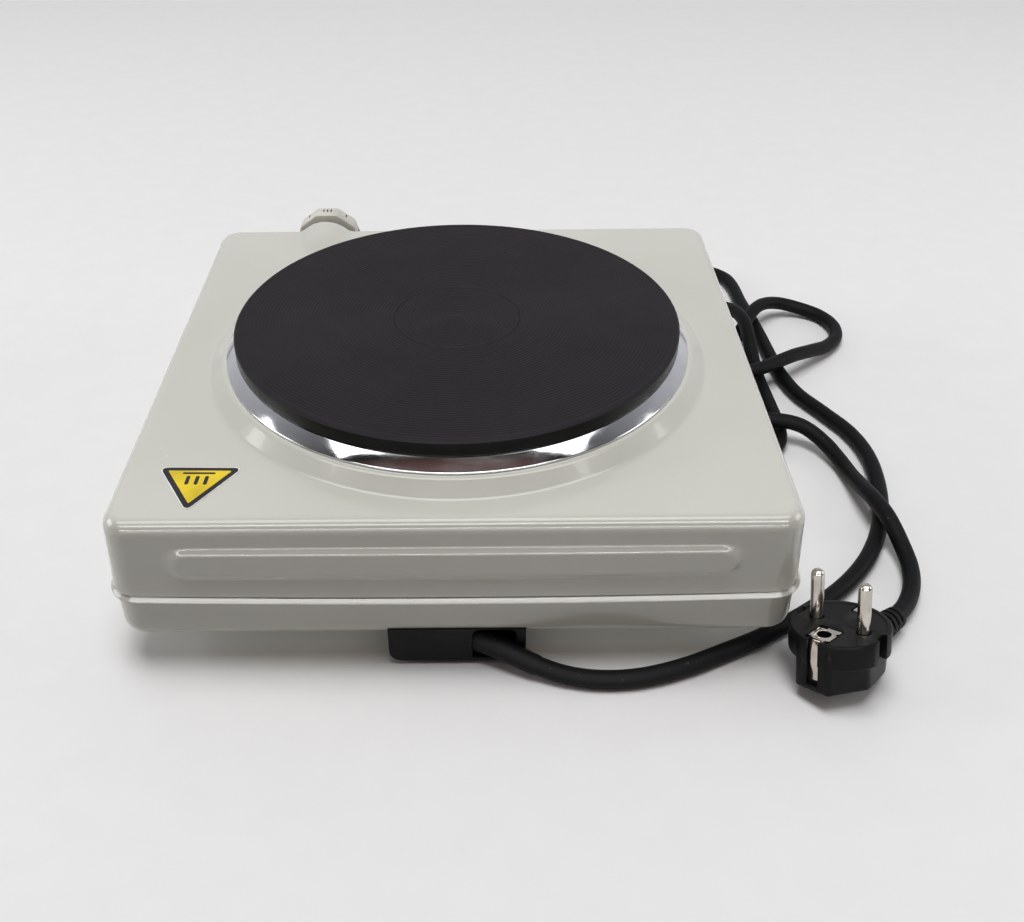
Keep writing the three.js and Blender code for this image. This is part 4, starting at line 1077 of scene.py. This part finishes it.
def add_relief():
    """The ribbed sleeve: rings with grooves between them, bridged by three spines on each side."""
    start, ribs, first_rib, groove, groove_r = 16.4, 6, 19.6, 1.15, 3.9
    wide, narrow = 6.6, 4.4
    pitch = (RELIEF_END - 20) / ribs

    def radius_at(y):
        return wide + (narrow - wide) * (y - start) / (RELIEF_END - start)

    corners = [(0, start), (radius_at(start), start)]
    for i in range(ribs):
        y = first_rib + i * pitch
        corners += [(radius_at(y), y), (groove_r, y), (groove_r, y + groove),
                    (radius_at(y + groove), y + groove)]
    corners += [(radius_at(RELIEF_END), RELIEF_END), (0, RELIEF_END)]
    sleeve = lathe_y("plug_sleeve", soften(corners, 0.3, 2), RUBBER, 64, place=(0, -RELIEF_DROP))
    spines = []
    half = 0.7
    for side in (-1, 1):
        for height, end in ((0, RELIEF_END - 1), (3.1, RELIEF_END - 7), (-3.1, RELIEF_END - 7)):
            rings = []
            for y in (start, end):
                reach = math.sqrt(max(radius_at(y) ** 2 - (abs(height) + half) ** 2, 1)) - 0.15
                x = sorted((side * 2, side * reach))
                low, high = height - half - RELIEF_DROP, height + half - RELIEF_DROP
                rings.append([(x[0], y, low), (x[1], y, low), (x[1], y, high), (x[0], y, high)])
            spines.append(mesh_object("spine", *skin(rings), RUBBER))
    boolean(sleeve, spines, "UNION")
    in_plug(sleeve, "black_rubber", "plug_relief")


# ------------------------------------------------------------------ the CAD's own nodes
SLOT_FINISH = {
    "zinc_steel": ZINC, "ceramic": CERAMIC, "heater_sheath": HEATER, "brown_wire": BROWN_WIRE,
    "blue_wire": BLUE_WIRE, "green_wire": GREEN_WIRE, "black_plastic": BLACK, "black_rubber": RUBBER,
    "nickel": NICKEL, "cream_enamel": ENAMEL, "chrome_trim": CHROME, "cast_iron": IRON,
    "cream_plastic": KNOB_CREAM, "yellow_label": LABEL_YELLOW,
}


def finish_cad_nodes():
    """Gives every CAD node its slot's finish. Those inside the object are shown as they are."""
    for part in frame["record"]["subparts"]:
        obj = frame["nodes"][part["node"]]
        obj.data.materials.clear()
        obj.data.materials.append(SLOT_FINISH[part["material_slot"]])


finish_cad_nodes()
add_casing()
add_pan()
add_trim_ring()
add_plate()
add_label()
add_knob()
add_feet()
add_terminal_box()
add_bushing()
add_plug_body()
add_pins()
add_earth_contacts()
add_relief()


# ------------------------------------------------------------------ floor and light
def add_floor():
    half = 6
    corners = [(-half, -half, 0), (half, -half, 0), (half, half, 0), (-half, half, 0)]
    mesh = bpy.data.meshes.new("floor")
    mesh.from_pydata(corners, [], [(0, 1, 2, 3)])
    floor = bpy.data.objects.new("floor", mesh)
    bpy.context.scene.collection.objects.link(floor)
    mesh.materials.append(floor_paper())
    # the world's lower half stands in for the light that comes off the floor
    floor.visible_diffuse = False


def add_light(name, place, aim, size, power, only_gloss=False, no_gloss=False):
    """A soft panel, which may be seen only in reflections, or not in them."""
    data = bpy.data.lights.new(name, "AREA")
    data.shape = "RECTANGLE"
    data.size, data.size_y = size
    data.energy = power
    light = bpy.data.objects.new(name, data)
    bpy.context.scene.collection.objects.link(light)
    light.location = place
    light.visible_diffuse = not only_gloss
    light.visible_glossy = not no_gloss
    light.rotation_euler = (Vector(aim) - Vector(place)).to_track_quat("-Z", "Y").to_euler()


# along Y, from the rear to the front: position in the ramp, and colour
ROOM = [(0.0, (0.05, 0.05, 0.05, 1)), (0.30, (0.16, 0.09, 0.08, 1)), (0.36, (0.02, 0.02, 0.02, 1)),
        (0.52, (0.24, 0.24, 0.25, 1)), (0.9, (0.8, 0.81, 0.84, 1))]
BELOW_FLOOR = (0.60, 0.59, 0.57, 1)
BACKGROUND = (0.82, 0.82, 0.83, 1)
ROOM_STRENGTH = 0.75


def add_world():
    """A room that is dim at the rear and bright at the front, with a pale background."""
    world = bpy.data.worlds.new("studio")
    bpy.context.scene.world = world
    world.use_nodes = True
    tree = world.node_tree

    def mixed(share, a, b):
        node = tree.nodes.new("ShaderNodeMix")
        node.data_type = "RGBA"
        tree.links.new(share, node.inputs[0])
        tree.links.new(a, node.inputs[6])
        node.inputs[7].default_value = b
        return node.outputs[2]

    place = tree.nodes.new("ShaderNodeTexCoord")
    split = tree.nodes.new("ShaderNodeSeparateXYZ")
    tree.links.new(place.outputs["Generated"], split.inputs["Vector"])
    spread = tree.nodes.new("ShaderNodeMapRange")
    spread.inputs["From Min"].default_value = -1
    tree.links.new(split.outputs["Y"], spread.inputs["Value"])
    ramp = tree.nodes.new("ShaderNodeValToRGB")
    tree.links.new(spread.outputs["Result"], ramp.inputs["Fac"])
    set_stops(ramp, ROOM)
    below = tree.nodes.new("ShaderNodeMath")
    below.operation = "LESS_THAN"
    below.inputs[1].default_value = 0
    tree.links.new(split.outputs["Z"], below.inputs[0])
    rays = tree.nodes.new("ShaderNodeLightPath")
    room = mixed(below.outputs["Value"], ramp.outputs["Color"], BELOW_FLOOR)
    seen = mixed(rays.outputs["Is Camera Ray"], room, BACKGROUND)
    background = tree.nodes["Background"]
    tree.links.new(seen, background.inputs["Color"])
    background.inputs["Strength"].default_value = ROOM_STRENGTH


add_floor()
add_light("overhead", (-0.08, -0.06, 3.0), (0, 0, 0), (1.9, 1.1), 58, no_gloss=True)
add_light("left fill", (-1.3, 0.0, 0.50), (0, 0, 0.05), (0.6, 0.6), 4)
add_light("right fill", (1.3, 0.0, 0.50), (0, 0, 0.05), (0.6, 0.6), 3)
# long panels over the rear, which draw the lines of light along the fold, the rib and the lip
REAR_WALL = (0, -0.127, 0.065)
for name, y, z, width, power in (
    ("low strip", -1.60, 0.68, 0.07, 9), ("low panel", -1.65, 0.40, 0.45, 7),
    ("middle panel", -1.06, 1.30, 0.28, 16), ("ceiling", -0.22, 1.60, 0.6, 15),
):
    add_light(name, (0, y, z), REAR_WALL, (2.6, width), power, only_gloss=True)
add_world()
bpy.context.scene.view_settings.view_transform = "Standard"
